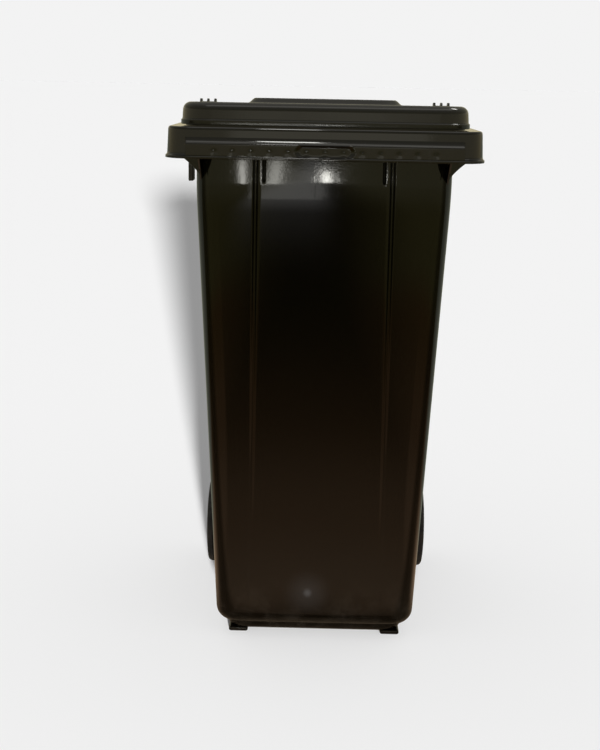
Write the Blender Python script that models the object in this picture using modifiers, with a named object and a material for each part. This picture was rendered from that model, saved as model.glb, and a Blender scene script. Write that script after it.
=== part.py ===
"""Two-wheeled refuse bin of 240 litres, as separate parts that fit and move.

Metres, +Z up, front towards -Y. The origin is on the floor under the middle of the bin's box.
"""
import math

import bmesh
import bpy
from mathutils import Matrix

# ---------------------------------------------------------------- driving dimensions
WALL = 0.0045                 # tub wall
GAP = 0.0003                  # left between pieces that touch
ARC_STEPS = 5                 # segments in a quarter corner

BASE_Z = 0.006                # underside of the tub between its feet
FLOOR_T = 0.005               # thickness of the tub's floor
NECK_Z = 0.925                # the wall stands upright above this height
TUB_HALF_W0 = 0.2022          # half width that the tapered wall would have at the floor
TUB_HALF_SLOPE = 0.0374
TUB_FRONT0 = -0.2124
TUB_FRONT_SLOPE = -0.1148
TUB_BACK0 = 0.2250
TUB_BACK_SLOPE = 0.0400
TUB_CORNER = 0.042
BASE_ROUND = 0.045            # radius where the wall turns under
BASE_ROUND_Z = 0.062
FRONT_ROUND_FACTOR = 1.5      # the front turns under further than the sides

GROOVE_X_TOP = 0.1250         # the two long grooves lean out as they go down
GROOVE_X_BOTTOM = 0.1325
GROOVE_W = 0.0135
GROOVE_DEPTH = 0.005
SHORT_GROOVE_W = 0.0080
SHORT_GROOVE_GAP = 0.0045
SHORT_GROOVE_END_Z = 0.951

COLLAR_HALF_W = 0.285
COLLAR_FRONT = -0.354
COLLAR_BACK = 0.285
COLLAR_CORNER = 0.045
COLLAR_BACK_CORNER = 0.030
RIM_Z = 1.048                 # top of the rim's flange
FLANGE_T = 0.004
LIP_Z = 0.992                 # bottom edge of the collar
LIP_OUT = 0.005
LIP_OUT_FRONT = 0.011

BAND_HALF_W = 0.2495          # proud band across the front of the collar
BAND_Z = (0.9955, 1.0200)
BAND_FRONT = -0.3615
THUMB_HALF_W = 0.048
THUMB_DEPTH = 0.0035
COMB_RIB_PITCH = 0.033
COMB_RIBS = 15
COMB_RIB_T = 0.003

LID_HALF_W = 0.2635
LID_FRONT = -0.3280
LID_BACK = 0.2865
LID_CORNER = 0.058
LID_BACK_CORNER = 0.035
LID_Z = 1.0505                # bottom edge of the lid
LID_BEAD_Z = 1.0605
LID_BEAD_OUT = 0.0022
LID_TOP_Z = 1.0915            # at the front
LID_FALL = 0.0105             # how much lower the lid's top is at its back
LID_TOP_ROUND = 0.015
LID_T = 0.003
PANEL_HALF_W = 0.158          # foot of the raised panel
PANEL_Y = (-0.056, 0.235)
PANEL_CORNER = 0.045
PANEL_SLOPE = 0.016
PANEL_H = 0.010

HINGE_Y = 0.335
HINGE_Z = 1.0725
FIN_R = 0.016
EYE_R = 0.0095
PIN_R = 0.004
LUG_IN = (0.2495, 0.2550)     # inner hinge lug, along X
LUG_OUT = (0.2820, 0.2875)
PIN_HEAD_X = 0.2900
EYE_X = (0.2556, 0.2814)

BAR_Y = 0.350
BAR_Z = 1.054
BAR_R = 0.015
BAR_HALF = 0.236
ARM_X = (0.222, 0.2445)

AXLE_Y = 0.239
AXLE_Z = 0.100
AXLE_R = 0.010
AXLE_LUG_R = 0.022
WHEEL_X = 0.2315              # middle plane of each tyre
ARCH_X = 0.1975               # inner face of the wheel arch
ARCH_R = 0.114
LUG_FACE_X = 0.2015           # outer face of the axle's outer lugs
AXLE_LUGS = ((0.1770, LUG_FACE_X), (0.0640, 0.0760))
HEEL = ((0.300, 0.255), (0.195, 0.186), (0.135, 0.010), (0.135, -0.020), (0.300, -0.020))

WHEEL_R = 0.100
TYRE_X = (WHEEL_X - 0.0225, WHEEL_X + 0.0225)
TYRE_BORE = 0.078
RIM_X = (WHEEL_X - 0.0200, WHEEL_X + 0.0200)
WEB_X = (WHEEL_X - 0.0025, WHEEL_X + 0.0025)
HUB_X = (WHEEL_X - 0.0270, WHEEL_X + 0.0240)
HUB_R = 0.027
BUSH_R = 0.0142
WASHER_R = 0.019
CAP_R = 0.031
CAP_X = HUB_X[1] + 0.0040
AXLE_HALF = HUB_X[1] - 0.0030
AXLE_GROOVE = (AXLE_HALF - 0.0085, AXLE_HALF - 0.0025)
AXLE_GROOVE_R = 0.0080
POCKET_X = AXLE_GROOVE[0] - 0.0015    # the lock's pocket, from here to the hub's outer face
POCKET_HALF_W = 0.0040
POCKET_TOP = 0.0235
PLUNGER_TIP = 0.0085
PLUNGER_TOP = 0.0160
SPRING_TURNS = 4
SPRING_R = 0.0026
SPRING_WIRE = 0.0004

FOOT_X = (0.139, 0.179)
FOOT_Y = (-0.178, -0.140)
CLIP_Z = 0.926                # bottom of the clip that hangs under the rim's left side

OLIVE = (0.021, 0.017, 0.009)
RUBBER = (0.012, 0.012, 0.012)
HUB_BLACK = (0.018, 0.018, 0.018)
STEEL = (0.56, 0.57, 0.58)
ACETAL = (0.62, 0.60, 0.54)


# ---------------------------------------------------------------- scene and materials
def clear_scene():
    for item in list(bpy.data.objects):
        bpy.data.objects.remove(item, do_unlink=True)


def new_collection(name):
    group = bpy.data.collections.new(name)
    bpy.context.scene.collection.children.link(group)
    return group


def make_material(name, colour, roughness, metallic):
    mat = bpy.data.materials.new(name)
    mat.use_nodes = True
    shader = mat.node_tree.nodes["Principled BSDF"]
    shader.inputs["Base Color"].default_value = (*colour, 1.0)
    shader.inputs["Roughness"].default_value = roughness
    shader.inputs["Metallic"].default_value = metallic
    return mat


clear_scene()
PARTS = new_collection("wheelie_bin")
CUTTERS = new_collection("cutters")


# ---------------------------------------------------------------- making shapes
def add_object(name, mesh):
    """A helper shape in the cutters' collection: never rendered, drawn as wire."""
    item = bpy.data.objects.new(name, mesh)
    CUTTERS.objects.link(item)
    item.hide_render = True
    item.display_type = "WIRE"
    return item


def from_bmesh(name, bm):
    bmesh.ops.recalc_face_normals(bm, faces=bm.faces)
    mesh = bpy.data.meshes.new(name)
    bm.to_mesh(mesh)
    bm.free()
    return add_object(name, mesh)


def publish(item, mat, smooth_deg=35):
    """Makes a helper shape one of the bin's parts."""
    CUTTERS.objects.unlink(item)
    PARTS.objects.link(item)
    item.hide_render = False
    item.display_type = "TEXTURED"
    item.data.materials.clear()
    item.data.materials.append(mat)
    item.data.shade_smooth()
    item.data.set_sharp_from_angle(angle=math.radians(smooth_deg))
    return item


def loft(name, rings, closed=False):
    """Joins rings of equal count. An open run of rings gets end caps, a closed one is a hoop."""
    bm = bmesh.new()
    loops = [[bm.verts.new(point) for point in ring] for ring in rings]
    pairs = list(zip(loops, loops[1:]))
    if closed:
        pairs.append((loops[-1], loops[0]))
    else:
        bm.faces.new(loops[0])
        bm.faces.new(loops[-1])
    for low, high in pairs:
        for i in range(len(low)):
            j = (i + 1) % len(low)
            bm.faces.new((low[i], low[j], high[j], high[i]))
    return from_bmesh(name, bm)


def prism(name, outline, axis, start, end):
    """Extrudes a flat outline along an axis. The outline holds the other two coordinates in order."""
    rings = []
    for level in (start, end):
        if axis == "X":
            rings.append([(level, a, b) for a, b in outline])
        elif axis == "Y":
            rings.append([(a, level, b) for a, b in outline])
        else:
            rings.append([(a, b, level) for a, b in outline])
    return loft(name, rings)


def box(name, low, high, bevel=0.0):
    bm = bmesh.new()
    size = [b - a for a, b in zip(low, high)]
    middle = [(a + b) / 2 for a, b in zip(low, high)]
    bmesh.ops.create_cube(bm, size=1.0)
    bmesh.ops.scale(bm, vec=size, verts=bm.verts)
    bmesh.ops.translate(bm, vec=middle, verts=bm.verts)
    if bevel:
        bmesh.ops.bevel(bm, geom=bm.edges[:], offset=bevel, segments=2, profile=0.5, affect="EDGES")
    return from_bmesh(name, bm)


def rod_x(name, radius, x0, x1, y, z, segments=32):
    """A cylinder along X."""
    bm = bmesh.new()
    turn = Matrix.Translation(((x0 + x1) / 2, y, z)) @ Matrix.Rotation(math.pi / 2, 4, "Y")
    bmesh.ops.create_cone(bm, cap_ends=True, segments=segments, radius1=radius, radius2=radius,
                          depth=abs(x1 - x0), matrix=turn)
    return from_bmesh(name, bm)


def turned_x(name, profile, y, z, steps=40, closed=True):
    """Turns a profile of (radius, x) points about a line along X through y, z.

    A closed profile makes a ring; an open one starts and ends on the axis.
    """
    mesh = bpy.data.meshes.new(name)
    edges = [(i, i + 1) for i in range(len(profile) - 1)]
    if closed:
        edges.append((len(profile) - 1, 0))
    mesh.from_pydata([(radius, 0.0, x) for radius, x in profile], edges, [])
    item = add_object(name, mesh)
    item.location = (0.0, y, z)
    item.rotation_euler = (0.0, math.pi / 2, 0.0)
    screw = item.modifiers.new("turn", "SCREW")
    screw.axis = "Z"
    screw.steps = steps
    screw.render_steps = steps
    screw.use_merge_vertices = True
    screw.merge_threshold = 0.00001
    return item


def mirrored(profile, side):
    """A (radius, x) profile for either side of the bin, kept running the same way round."""
    flipped = [(radius, side * x) for radius, x in profile]
    return flipped if side > 0 else flipped[::-1]


def boolean(target, pieces, operation):
    """One exact Boolean of the target with all the pieces."""
    group = bpy.data.collections.new(f"{target.name}_{operation.lower()}_{len(target.modifiers)}")
    CUTTERS.children.link(group)
    for piece in pieces:
        CUTTERS.objects.unlink(piece)
        group.objects.link(piece)
    step = target.modifiers.new(operation.lower(), "BOOLEAN")
    step.operation = operation
    step.operand_type = "COLLECTION"
    step.collection = group
    step.solver = "EXACT"
    step.use_self = True
    return target


def rounded_half(half_w, front, back, r_front, r_back):
    """The +X half of a rounded rectangle, from the front wall round to the back wall."""
    points = []
    for i in range(ARC_STEPS + 1):
        angle = math.radians(-90 + 90 * i / ARC_STEPS)
        points.append((half_w - r_front + r_front * math.cos(angle),
                       front + r_front + r_front * math.sin(angle)))
    for i in range(ARC_STEPS + 1):
        angle = math.radians(90 * i / ARC_STEPS)
        points.append((half_w - r_back + r_back * math.cos(angle),
                       back - r_back + r_back * math.sin(angle)))
    return points


def both_halves(half):
    """Closes a +X half outline with its mirror image."""
    return half + [(-x, y) for x, y in reversed(half)]


def level_ring(half, z):
    return [(x, y, z) for x, y in both_halves(half)]


# ---------------------------------------------------------------- tub
def under_inset(z):
    """How far the wall has turned in under the tub at height z."""
    if z >= BASE_ROUND_Z:
        return 0.0
    foot_ring_z = 0.0295
    if z > foot_ring_z:
        drop = BASE_ROUND_Z - z
        return BASE_ROUND - math.sqrt(BASE_ROUND ** 2 - drop ** 2)
    return 0.0205 + 0.0095 * ((foot_ring_z - z) / (foot_ring_z - BASE_Z)) ** 4


def groove_marks(z, wall):
    """(x, depth) points across the +X grooves of the front wall, from the centre outwards."""
    share = (z - 0.085) / (0.980 - 0.085)
    centre = GROOVE_X_BOTTOM + (GROOVE_X_TOP - GROOVE_X_BOTTOM) * share
    near, far = centre - GROOVE_W / 2, centre + GROOVE_W / 2
    short_far = near - SHORT_GROOVE_GAP
    short_near = short_far - SHORT_GROOVE_W
    depth = GROOVE_DEPTH if z > 0.080 else 0.0
    short_depth = 0.8 * GROOVE_DEPTH if z > SHORT_GROOVE_END_Z else 0.0
    flank = 0.0015
    if not wall:
        return [(short_near, 0.0), (short_near + flank, short_depth), (short_far - flank, short_depth),
                (short_far, 0.0), (near, 0.0), (near + flank, depth), (far - flank, depth), (far, 0.0)]
    spread = 0.6 * wall
    inner = near - spread
    return [(short_near - spread, 0.0), (short_near - spread + flank, short_depth),
            (inner - 0.004, short_depth), (inner - 0.002, short_depth), (inner, short_depth),
            (inner + flank, depth), (far + spread - flank, depth), (far + spread, 0.0)]


def tub_ring(z, wall=0.0):
    """The tub's outline at height z, or its inside when a wall thickness is given."""
    taper_z = min(z, NECK_Z)
    inset = under_inset(z)
    half_w = TUB_HALF_W0 + TUB_HALF_SLOPE * taper_z - inset - wall
    front = TUB_FRONT0 + TUB_FRONT_SLOPE * taper_z + FRONT_ROUND_FACTOR * inset + wall
    back = TUB_BACK0 + TUB_BACK_SLOPE * taper_z - inset - wall
    corner = TUB_CORNER - 0.3 * inset - wall
    half = [(x, front + depth) for x, depth in groove_marks(z, wall)]
    half += rounded_half(half_w, front, back, corner, corner)
    return level_ring(half, z)


def tub_levels(bottom, top):
    """Heights at which the tub's outline changes."""
    levels = [0.0105, 0.0190, 0.0290, 0.0300, 0.0355, 0.0425, 0.0490, 0.0555, BASE_ROUND_Z, 0.078, 0.092,
              NECK_Z, SHORT_GROOVE_END_Z - 0.004, SHORT_GROOVE_END_Z + 0.002]
    return [bottom] + [z for z in levels if bottom < z < top] + [top]


def arch_cutter(name, grow):
    """Room for a wheel at each side, grown inwards for the cavity."""
    return [rod_x(f"{name}_{side}", ARCH_R + grow, side * (ARCH_X - grow), side * 0.300, AXLE_Y, AXLE_Z, 32)
            for side in (-1, 1)]


def heel_cutter(name, grow):
    """Cuts the tub's lower back edge away to make room for the axle."""
    outline = [(y - grow, z + grow * 0.4) for y, z in HEEL]
    return prism(name, outline, "X", -0.300, 0.300)


def make_cavity():
    """The tub's inside, with the wheel arches and the heel standing into it."""
    cavity = loft("cavity", [tub_ring(z, WALL) for z in tub_levels(BASE_Z + FLOOR_T, 1.100)])
    return boolean(cavity, arch_cutter("cavity_arch", WALL) + [heel_cutter("cavity_heel", WALL)],
                   "DIFFERENCE")


def collar_ring(side, front, back, z):
    """An outline offset from the collar's wall: out to the sides, the front and the back."""
    half = rounded_half(COLLAR_HALF_W + side, COLLAR_FRONT - front, COLLAR_BACK + back,
                        COLLAR_CORNER + side, COLLAR_BACK_CORNER + side)
    return level_ring(half, z)


def make_collar():
    """Rim flange and comb-lift collar, as one hoop with a turned-out bottom lip."""
    under = RIM_Z - FLANGE_T
    profile = [
        (-0.0505, -0.0375, -0.0245, RIM_Z),
        (-0.0070, -0.0070, -0.0070, RIM_Z),
        (-0.0025, -0.0025, -0.0025, RIM_Z - 0.0018),
        (0.0, 0.0, 0.0, RIM_Z - 0.0065),
        (0.0022, 0.0035, 0.0022, LIP_Z + 0.0065),
        (LIP_OUT, LIP_OUT_FRONT, 0.0050, LIP_Z + 0.0045),
        (LIP_OUT, LIP_OUT_FRONT, 0.0050, LIP_Z),
        (-0.0005, -0.0005, -0.0005, LIP_Z),
        (-0.0035, -0.0035, -0.0035, under - 0.004),
        (-0.0060, -0.0060, -0.0060, under),
        (-0.0505, -0.0375, -0.0245, under),
    ]
    return loft("collar", [collar_ring(*step) for step in profile], closed=True)


def make_upstand():
    """Low bead on the rim that the lid closes round."""
    rings = []
    for inset, z in ((0.0060, RIM_Z - 0.002), (0.0060, 1.0555), (0.0085, 1.0555), (0.0085, RIM_Z - 0.002)):
        half = rounded_half(LID_HALF_W - inset, LID_FRONT + inset, 0.2790 - inset,
                            LID_CORNER - inset, LID_BACK_CORNER - inset)
        rings.append(level_ring(half, z))
    return loft("upstand", rings, closed=True)


def make_band():
    """Proud band across the collar's front, with a shallow thumb recess in its middle."""
    low, high = BAND_Z
    inside = -0.3548
    outline = [(inside, low), (BAND_FRONT - 0.0010, low), (BAND_FRONT, high - 0.0025),
               (BAND_FRONT + 0.0030, high), (inside, high)]
    band = prism("band", outline, "X", -BAND_HALF_W, BAND_HALF_W)
    slope = 0.004
    inner = BAND_FRONT + THUMB_DEPTH
    outer = BAND_FRONT - 0.006
    recess = [(-THUMB_HALF_W + slope, inner), (THUMB_HALF_W - slope, inner),
              (THUMB_HALF_W + slope, outer), (-THUMB_HALF_W - slope, outer)]
    return boolean(band, [prism("thumb_recess", recess, "Z", low + 0.004, high - 0.0035)], "DIFFERENCE")


def make_comb_ribs():
    """Short ribs under the front flange, between the tub's wall and the collar."""
    ribs = []
    top = RIM_Z - 0.003
    outline = [(-0.3165, top), (-0.3520, top), (-0.3520, 1.0220), (-0.3165, 1.0100)]
    for i in range(COMB_RIBS):
        x = (i - (COMB_RIBS - 1) / 2) * COMB_RIB_PITCH
        if abs(x) < 0.220:
            ribs.append(prism(f"comb_rib_{i}", outline, "X", x - COMB_RIB_T / 2, x + COMB_RIB_T / 2))
    return ribs


def make_side_ribs():
    """Four ribs under the flange on each side."""
    ribs = []
    top = RIM_Z - 0.003
    for side in (-1, 1):
        outline = [(side * x, z) for x, z in ((0.2345, top), (0.2825, top), (0.2825, 1.020), (0.2345, 1.004))]
        for i, y in enumerate((-0.220, -0.075, 0.075, 0.220)):
            ribs.append(prism(f"side_rib_{side}_{i}", outline, "Y", y - 0.0015, y + 0.0015))
    return ribs


def make_gussets():
    """Cheek plates and corner plates that brace the collar's front corners."""
    plates = []
    top = RIM_Z - 0.003
    cheek = [(-0.300, 0.9480), (-0.354, 0.9935), (-0.354, top), (-0.300, top)]
    corner = [(0.2260, 0.9580), (0.2310, 0.9680), (0.2385, 0.9770), (0.2480, 0.9855), (0.2586, 0.9925),
              (0.2825, 1.0000), (0.2825, top), (0.2260, top)]
    for side in (-1, 1):
        plates.append(prism(f"cheek_{side}", cheek, "X", side * 0.2245, side * 0.2280))
        plates.append(prism(f"corner_plate_{side}", [(side * x, z) for x, z in corner], "Y", -0.3255, -0.3220))
    return plates


def tongue(y, z, radius, root, steps=10):
    """A (y, z) outline: a round end about y, z joined to two root points."""
    first, last = root
    start = math.radians(100)
    sweep = math.radians(-220)
    arc = [(y + radius * math.cos(start + sweep * i / steps), z + radius * math.sin(start + sweep * i / steps))
           for i in range(steps + 1)]
    return [first] + arc + [last]


def make_hinge_mounts():
    """Hinge blocks behind the rim, each with two pierced lugs."""
    pieces = []
    outline = tongue(HINGE_Y, HINGE_Z, FIN_R, ((0.286, 1.046), (0.290, 1.006)))
    for side in (-1, 1):
        low = min(side * 0.2480, side * 0.2890)
        pieces.append(box(f"hinge_block_{side}", (low, 0.240, 1.0010), (low + 0.0410, 0.3000, 1.0470), 0.002))
        for label, (x0, x1) in (("in", LUG_IN), ("out", LUG_OUT)):
            pieces.append(prism(f"hinge_lug_{label}_{side}", outline, "X", side * x0, side * x1))
    return pieces


def make_handle():
    """Grip bar across the back, on two arms and a middle web."""
    bar = rod_x("grip_bar", BAR_R, -BAR_HALF, BAR_HALF, BAR_Y, BAR_Z, 24)
    arm = [(0.270, 1.0000), (0.300, 1.0180), (0.318, 1.0400), (BAR_Y, 1.0420), (BAR_Y, 1.0660),
           (0.322, 1.0590), (0.2915, 1.0465), (0.270, 1.0465)]
    web = [(0.270, 1.0060), (0.300, 1.0300), (0.318, 1.0430), (BAR_Y, 1.0450), (BAR_Y, 1.0630),
           (0.322, 1.0570), (0.2915, 1.0455), (0.270, 1.0455)]
    pieces = [bar, prism("middle_web", web, "X", -0.010, 0.010)]
    for side in (-1, 1):
        pieces.append(prism(f"handle_arm_{side}", arm, "X", side * ARM_X[0], side * ARM_X[1]))
    return pieces


def make_axle_lugs():
    """Lugs on the tub's heel that carry the axle."""
    outline = tongue(AXLE_Y, AXLE_Z, AXLE_LUG_R, ((0.190, 0.190), (0.145, 0.046)))
    return [prism(f"axle_lug_{side}_{i}", outline, "X", side * x0, side * x1)
            for side in (-1, 1) for i, (x0, x1) in enumerate(AXLE_LUGS)]


def make_feet():
    """Two pads under the front of the base."""
    feet = []
    for side in (-1, 1):
        low = min(side * FOOT_X[0], side * FOOT_X[1])
        feet.append(box(f"foot_{side}", (low, FOOT_Y[0], 0.0), (low + FOOT_X[1] - FOOT_X[0], FOOT_Y[1], 0.010),
                        0.0015))
    return feet


def make_tub():
    tub = loft("tub", [tub_ring(z) for z in tub_levels(BASE_Z, RIM_Z - 0.0015)])
    boolean(tub, arch_cutter("arch", 0.0) + [heel_cutter("heel", 0.0)], "DIFFERENCE")
    added = [make_collar(), make_upstand(), make_band()]
    added += make_comb_ribs() + make_side_ribs() + make_gussets()
    added += make_hinge_mounts() + make_handle() + make_axle_lugs() + make_feet()
    boolean(tub, added, "UNION")
    bores = [rod_x("axle_bore", AXLE_R + GAP, -0.230, 0.230, AXLE_Y, AXLE_Z, 20)]
    bores += [rod_x(f"pin_bore_{side}", PIN_R + GAP, side * 0.2470, side * 0.2950, HINGE_Y, HINGE_Z, 16)
              for side in (-1, 1)]
    boolean(tub, [make_cavity()] + bores, "DIFFERENCE")
    return publish(tub, make_material("olive_tub", OLIVE, 0.22, 0.0))


def make_rim_clip():
    """Small holder that hangs in the collar under the rim's left side."""
    top = RIM_Z - FLANGE_T - GAP
    clip = box("rim_clip", (-0.2790, -0.0170, CLIP_Z), (-0.2685, 0.0170, top), 0.002)
    slot = box("clip_slot", (-0.2900, -0.0090, 0.9620), (-0.2600, 0.0090, 1.0280))
    boolean(clip, [slot], "DIFFERENCE")
    return publish(clip, make_material("olive_clip", OLIVE, 0.30, 0.0))


# ---------------------------------------------------------------- lid
def lid_surface(y):
    """Height of the lid's top at y."""
    return LID_TOP_Z - LID_FALL * (y - LID_FRONT) / (LID_BACK - LID_FRONT)


def lid_ring(out, z, thickness=0.0):
    """The lid's outline, offset by out, its height falling towards the back above the bead."""
    grow = out - thickness
    half = rounded_half(LID_HALF_W + grow, LID_FRONT - grow, LID_BACK + grow,
                        max(LID_CORNER + grow, 0.010), max(LID_BACK_CORNER + grow, 0.010))
    share = max(0.0, (z - LID_BEAD_Z) / (LID_TOP_Z - LID_BEAD_Z))
    return [(x, y, z - thickness * (share > 0) - share * (LID_TOP_Z - lid_surface(y)))
            for x, y in both_halves(half)]


def lid_levels():
    """(offset, height) steps up the lid's side and over its rounded edge."""
    levels = [(LID_BEAD_OUT, LID_Z), (LID_BEAD_OUT, LID_BEAD_Z - 0.0015), (0.0, LID_BEAD_Z)]
    start = LID_TOP_Z - LID_TOP_ROUND
    for i in range(6):
        angle = math.radians(90 * i / 5)
        levels.append((-0.0012 - LID_TOP_ROUND * (1 - math.cos(angle)), start + LID_TOP_ROUND * math.sin(angle)))
    return levels


def panel_rings(thickness=0.0):
    """The raised panel: an S-shaped slope up from the lid's top."""
    rings = []
    for inset, height in ((-0.001, -0.0015), (0.0010, 0.0010), (0.0060, 0.0035), (0.0120, 0.0085),
                          (PANEL_SLOPE, PANEL_H)):
        grow = -inset - thickness
        half = rounded_half(PANEL_HALF_W + grow, PANEL_Y[0] - grow, PANEL_Y[1] + grow,
                            PANEL_CORNER + grow, PANEL_CORNER + grow)
        lift = height - thickness - (0.004 if height < 0 and thickness else 0.0)
        rings.append([(x, y, lid_surface(y) + lift) for x, y in both_halves(half)])
    return rings


def make_lid_ears():
    """Hinge arms at the lid's back corners, each with a pierced eye and a middle fin."""
    pieces = []
    for side in (-1, 1):
        plan = [(side * x, y) for x, y in ((EYE_X[0], 0.262), (0.2480, 0.240), (0.2480, 0.200), (0.2600, 0.200),
                                           (EYE_X[1], 0.285), (EYE_X[1], HINGE_Y), (EYE_X[0], HINGE_Y))]
        pieces.append(prism(f"ear_arm_{side}", plan, "Z", 1.0655, 1.0768))
        pieces.append(rod_x(f"ear_eye_{side}", EYE_R, side * EYE_X[0], side * EYE_X[1], HINGE_Y, HINGE_Z, 20))
        pieces.append(rod_x(f"ear_fin_{side}", FIN_R, side * 0.2660, side * 0.2710, HINGE_Y, HINGE_Z, 20))
    return pieces


def make_lid_ribs():
    """Stiffening ribs under the lid's top."""
    ribs = []
    low = 1.0680
    into_top = 0.0015
    for side in (-1, 1):
        outline = [(-0.300, low), (0.258, low), (0.258, lid_surface(0.258) - into_top),
                   (-0.300, lid_surface(-0.300) - into_top)]
        ribs.append(prism(f"long_rib_{side}", outline, "X", side * 0.1850, side * 0.1875))
    for i, y in enumerate((-0.240, -0.160, -0.080)):
        ribs.append(box(f"cross_rib_{i}", (-0.186, y - 0.00125, low),
                        (0.186, y + 0.00125, lid_surface(y) - into_top)))
    return ribs


def make_lid():
    lid = loft("lid", [lid_ring(out, z) for out, z in lid_levels()])
    boolean(lid, [loft("panel", panel_rings())], "UNION")
    hollow = loft("lid_hollow", [lid_ring(LID_BEAD_OUT, LID_Z - 0.003, LID_T)]
                  + [lid_ring(out, z, LID_T) for out, z in lid_levels()[1:]])
    boolean(lid, [hollow, loft("panel_hollow", panel_rings(LID_T))], "DIFFERENCE")
    boolean(lid, make_lid_ears() + make_lid_ribs(), "UNION")
    bores = [rod_x(f"eye_bore_{side}", PIN_R + GAP, side * 0.2500, side * 0.2900, HINGE_Y, HINGE_Z, 16)
             for side in (-1, 1)]
    boolean(lid, bores, "DIFFERENCE")
    return publish(lid, make_material("olive_lid", OLIVE, 0.22, 0.0))


def make_hinge_pin(name, side, mat):
    """Headed pin, its head outside the outer lug and a split tip inside the inner one."""
    profile = [(0.0, PIN_HEAD_X), (0.0055, PIN_HEAD_X), (0.0070, PIN_HEAD_X - 0.0008),
               (0.0070, LUG_OUT[1] + GAP), (PIN_R, LUG_OUT[1] + GAP), (PIN_R, 0.2480), (0.0030, 0.2465),
               (0.0, 0.2465)]
    pin = turned_x(name, mirrored(profile, side), HINGE_Y, HINGE_Z, 16, closed=False)
    return publish(pin, mat)


# ---------------------------------------------------------------- wheels and axle
def make_axle():
    """Steel bar with a lock groove near each end."""
    g0, g1 = AXLE_GROOVE
    half = [(0.0, AXLE_HALF), (AXLE_R - 0.0012, AXLE_HALF), (AXLE_R, AXLE_HALF - 0.0012), (AXLE_R, g1),
            (AXLE_GROOVE_R, g1 - 0.0005), (AXLE_GROOVE_R, g0 + 0.0005), (AXLE_R, g0)]
    profile = half + [(radius, -x) for radius, x in reversed(half)]
    axle = turned_x("axle", profile, AXLE_Y, AXLE_Z, 20, closed=False)
    return publish(axle, make_material("zinc_steel", STEEL, 0.35, 1.0))


def make_tyre(name, side, mat):
    x0, x1 = TYRE_X
    tread = WHEEL_R
    profile = [(TYRE_BORE, x0 + 0.003), (TYRE_BORE, x1 - 0.003), (0.0860, x1), (0.0940, x1 - 0.0008),
               (tread - 0.0015, x1 - 0.0045), (tread, x1 - 0.0100), (tread, x0 + 0.0100),
               (tread - 0.0015, x0 + 0.0045), (0.0940, x0 + 0.0008), (0.0860, x0)]
    return publish(turned_x(name, mirrored(profile, side), AXLE_Y, AXLE_Z, 36), mat)


def make_wheel_centre(name, side, mat):
    """Rim, web and hub in one moulding, with spokes and a pocket for the lock."""
    rim = TYRE_BORE - GAP
    web0, web1 = WEB_X
    r0, r1 = RIM_X
    h0, h1 = HUB_X
    profile = [(BUSH_R + GAP, h0), (BUSH_R + GAP, h1), (HUB_R, h1), (HUB_R, web1), (0.0690, web1),
               (0.0710, r1), (rim, r1), (rim, r0), (0.0710, r0), (0.0690, web0), (HUB_R, web0), (HUB_R, h0)]
    wheel = turned_x(name, mirrored(profile, side), AXLE_Y, AXLE_Z, 36)
    spokes = []
    for i in range(8):
        spoke = box(f"{name}_spoke_{i}", (-0.0110, -0.0025, 0.0240), (0.0110, 0.0025, 0.0700))
        turn = Matrix.Rotation(2 * math.pi * (i + 0.5) / 8, 4, "X")
        spoke.data.transform(Matrix.Translation((side * WHEEL_X, AXLE_Y, AXLE_Z)) @ turn)
        spokes.append(spoke)
    boolean(wheel, spokes, "UNION")
    low = min(side * POCKET_X, side * 0.270)
    pocket = box(f"{name}_pocket", (low, AXLE_Y - POCKET_HALF_W, AXLE_Z + 0.005),
                 (low + 0.270 - POCKET_X, AXLE_Y + POCKET_HALF_W, AXLE_Z + POCKET_TOP))
    boolean(wheel, [pocket], "DIFFERENCE")
    return publish(wheel, mat)


def make_bush(name, side, mat):
    """Plain bush between the hub and the axle, stopping short of the lock's pocket."""
    inner = AXLE_R + GAP
    end = POCKET_X - 0.001
    profile = [(inner, HUB_X[0]), (inner, end), (BUSH_R, end), (BUSH_R, HUB_X[0])]
    return publish(turned_x(name, mirrored(profile, side), AXLE_Y, AXLE_Z, 20), mat)


def make_washer(name, side, mat):
    inner = AXLE_R + GAP
    x0, x1 = LUG_FACE_X + GAP, HUB_X[0] - GAP
    profile = [(inner, x0), (inner, x1), (WASHER_R, x1), (WASHER_R, x0)]
    return publish(turned_x(name, mirrored(profile, side), AXLE_Y, AXLE_Z, 20), mat)


def make_hub_cap(name, side, mat):
    """Domed cap snapped over the hub's outer face."""
    inside = HUB_X[1] + GAP
    skirt = HUB_X[1] - 0.0065
    profile = [(0.0, CAP_X), (0.0160, CAP_X - 0.0004), (0.0260, CAP_X - 0.0014), (CAP_R, CAP_X - 0.0032),
               (CAP_R, skirt), (HUB_R + GAP, skirt), (HUB_R + GAP, inside), (0.0, inside)]
    cap = turned_x(name, mirrored(profile, side), AXLE_Y, AXLE_Z, 24, closed=False)
    return publish(cap, mat)


def make_plunger(name, side, mat):
    """Sliding lock block whose tip sits in the axle's groove."""
    x0, x1 = AXLE_GROOVE[0] + 0.0012, AXLE_GROOVE[1] - 0.0012
    tip = box(name, (min(side * x0, side * x1), AXLE_Y - 0.0022, AXLE_Z + PLUNGER_TIP),
              (max(side * x0, side * x1), AXLE_Y + 0.0022, AXLE_Z + 0.0130))
    near, far = POCKET_X + 0.0007, POCKET_X + 0.0107
    head = box(f"{name}_head", (min(side * near, side * far), AXLE_Y - 0.0036, AXLE_Z + 0.0110),
               (max(side * near, side * far), AXLE_Y + 0.0036, AXLE_Z + PLUNGER_TOP))
    boolean(tip, [head], "UNION")
    return publish(tip, mat)


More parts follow.
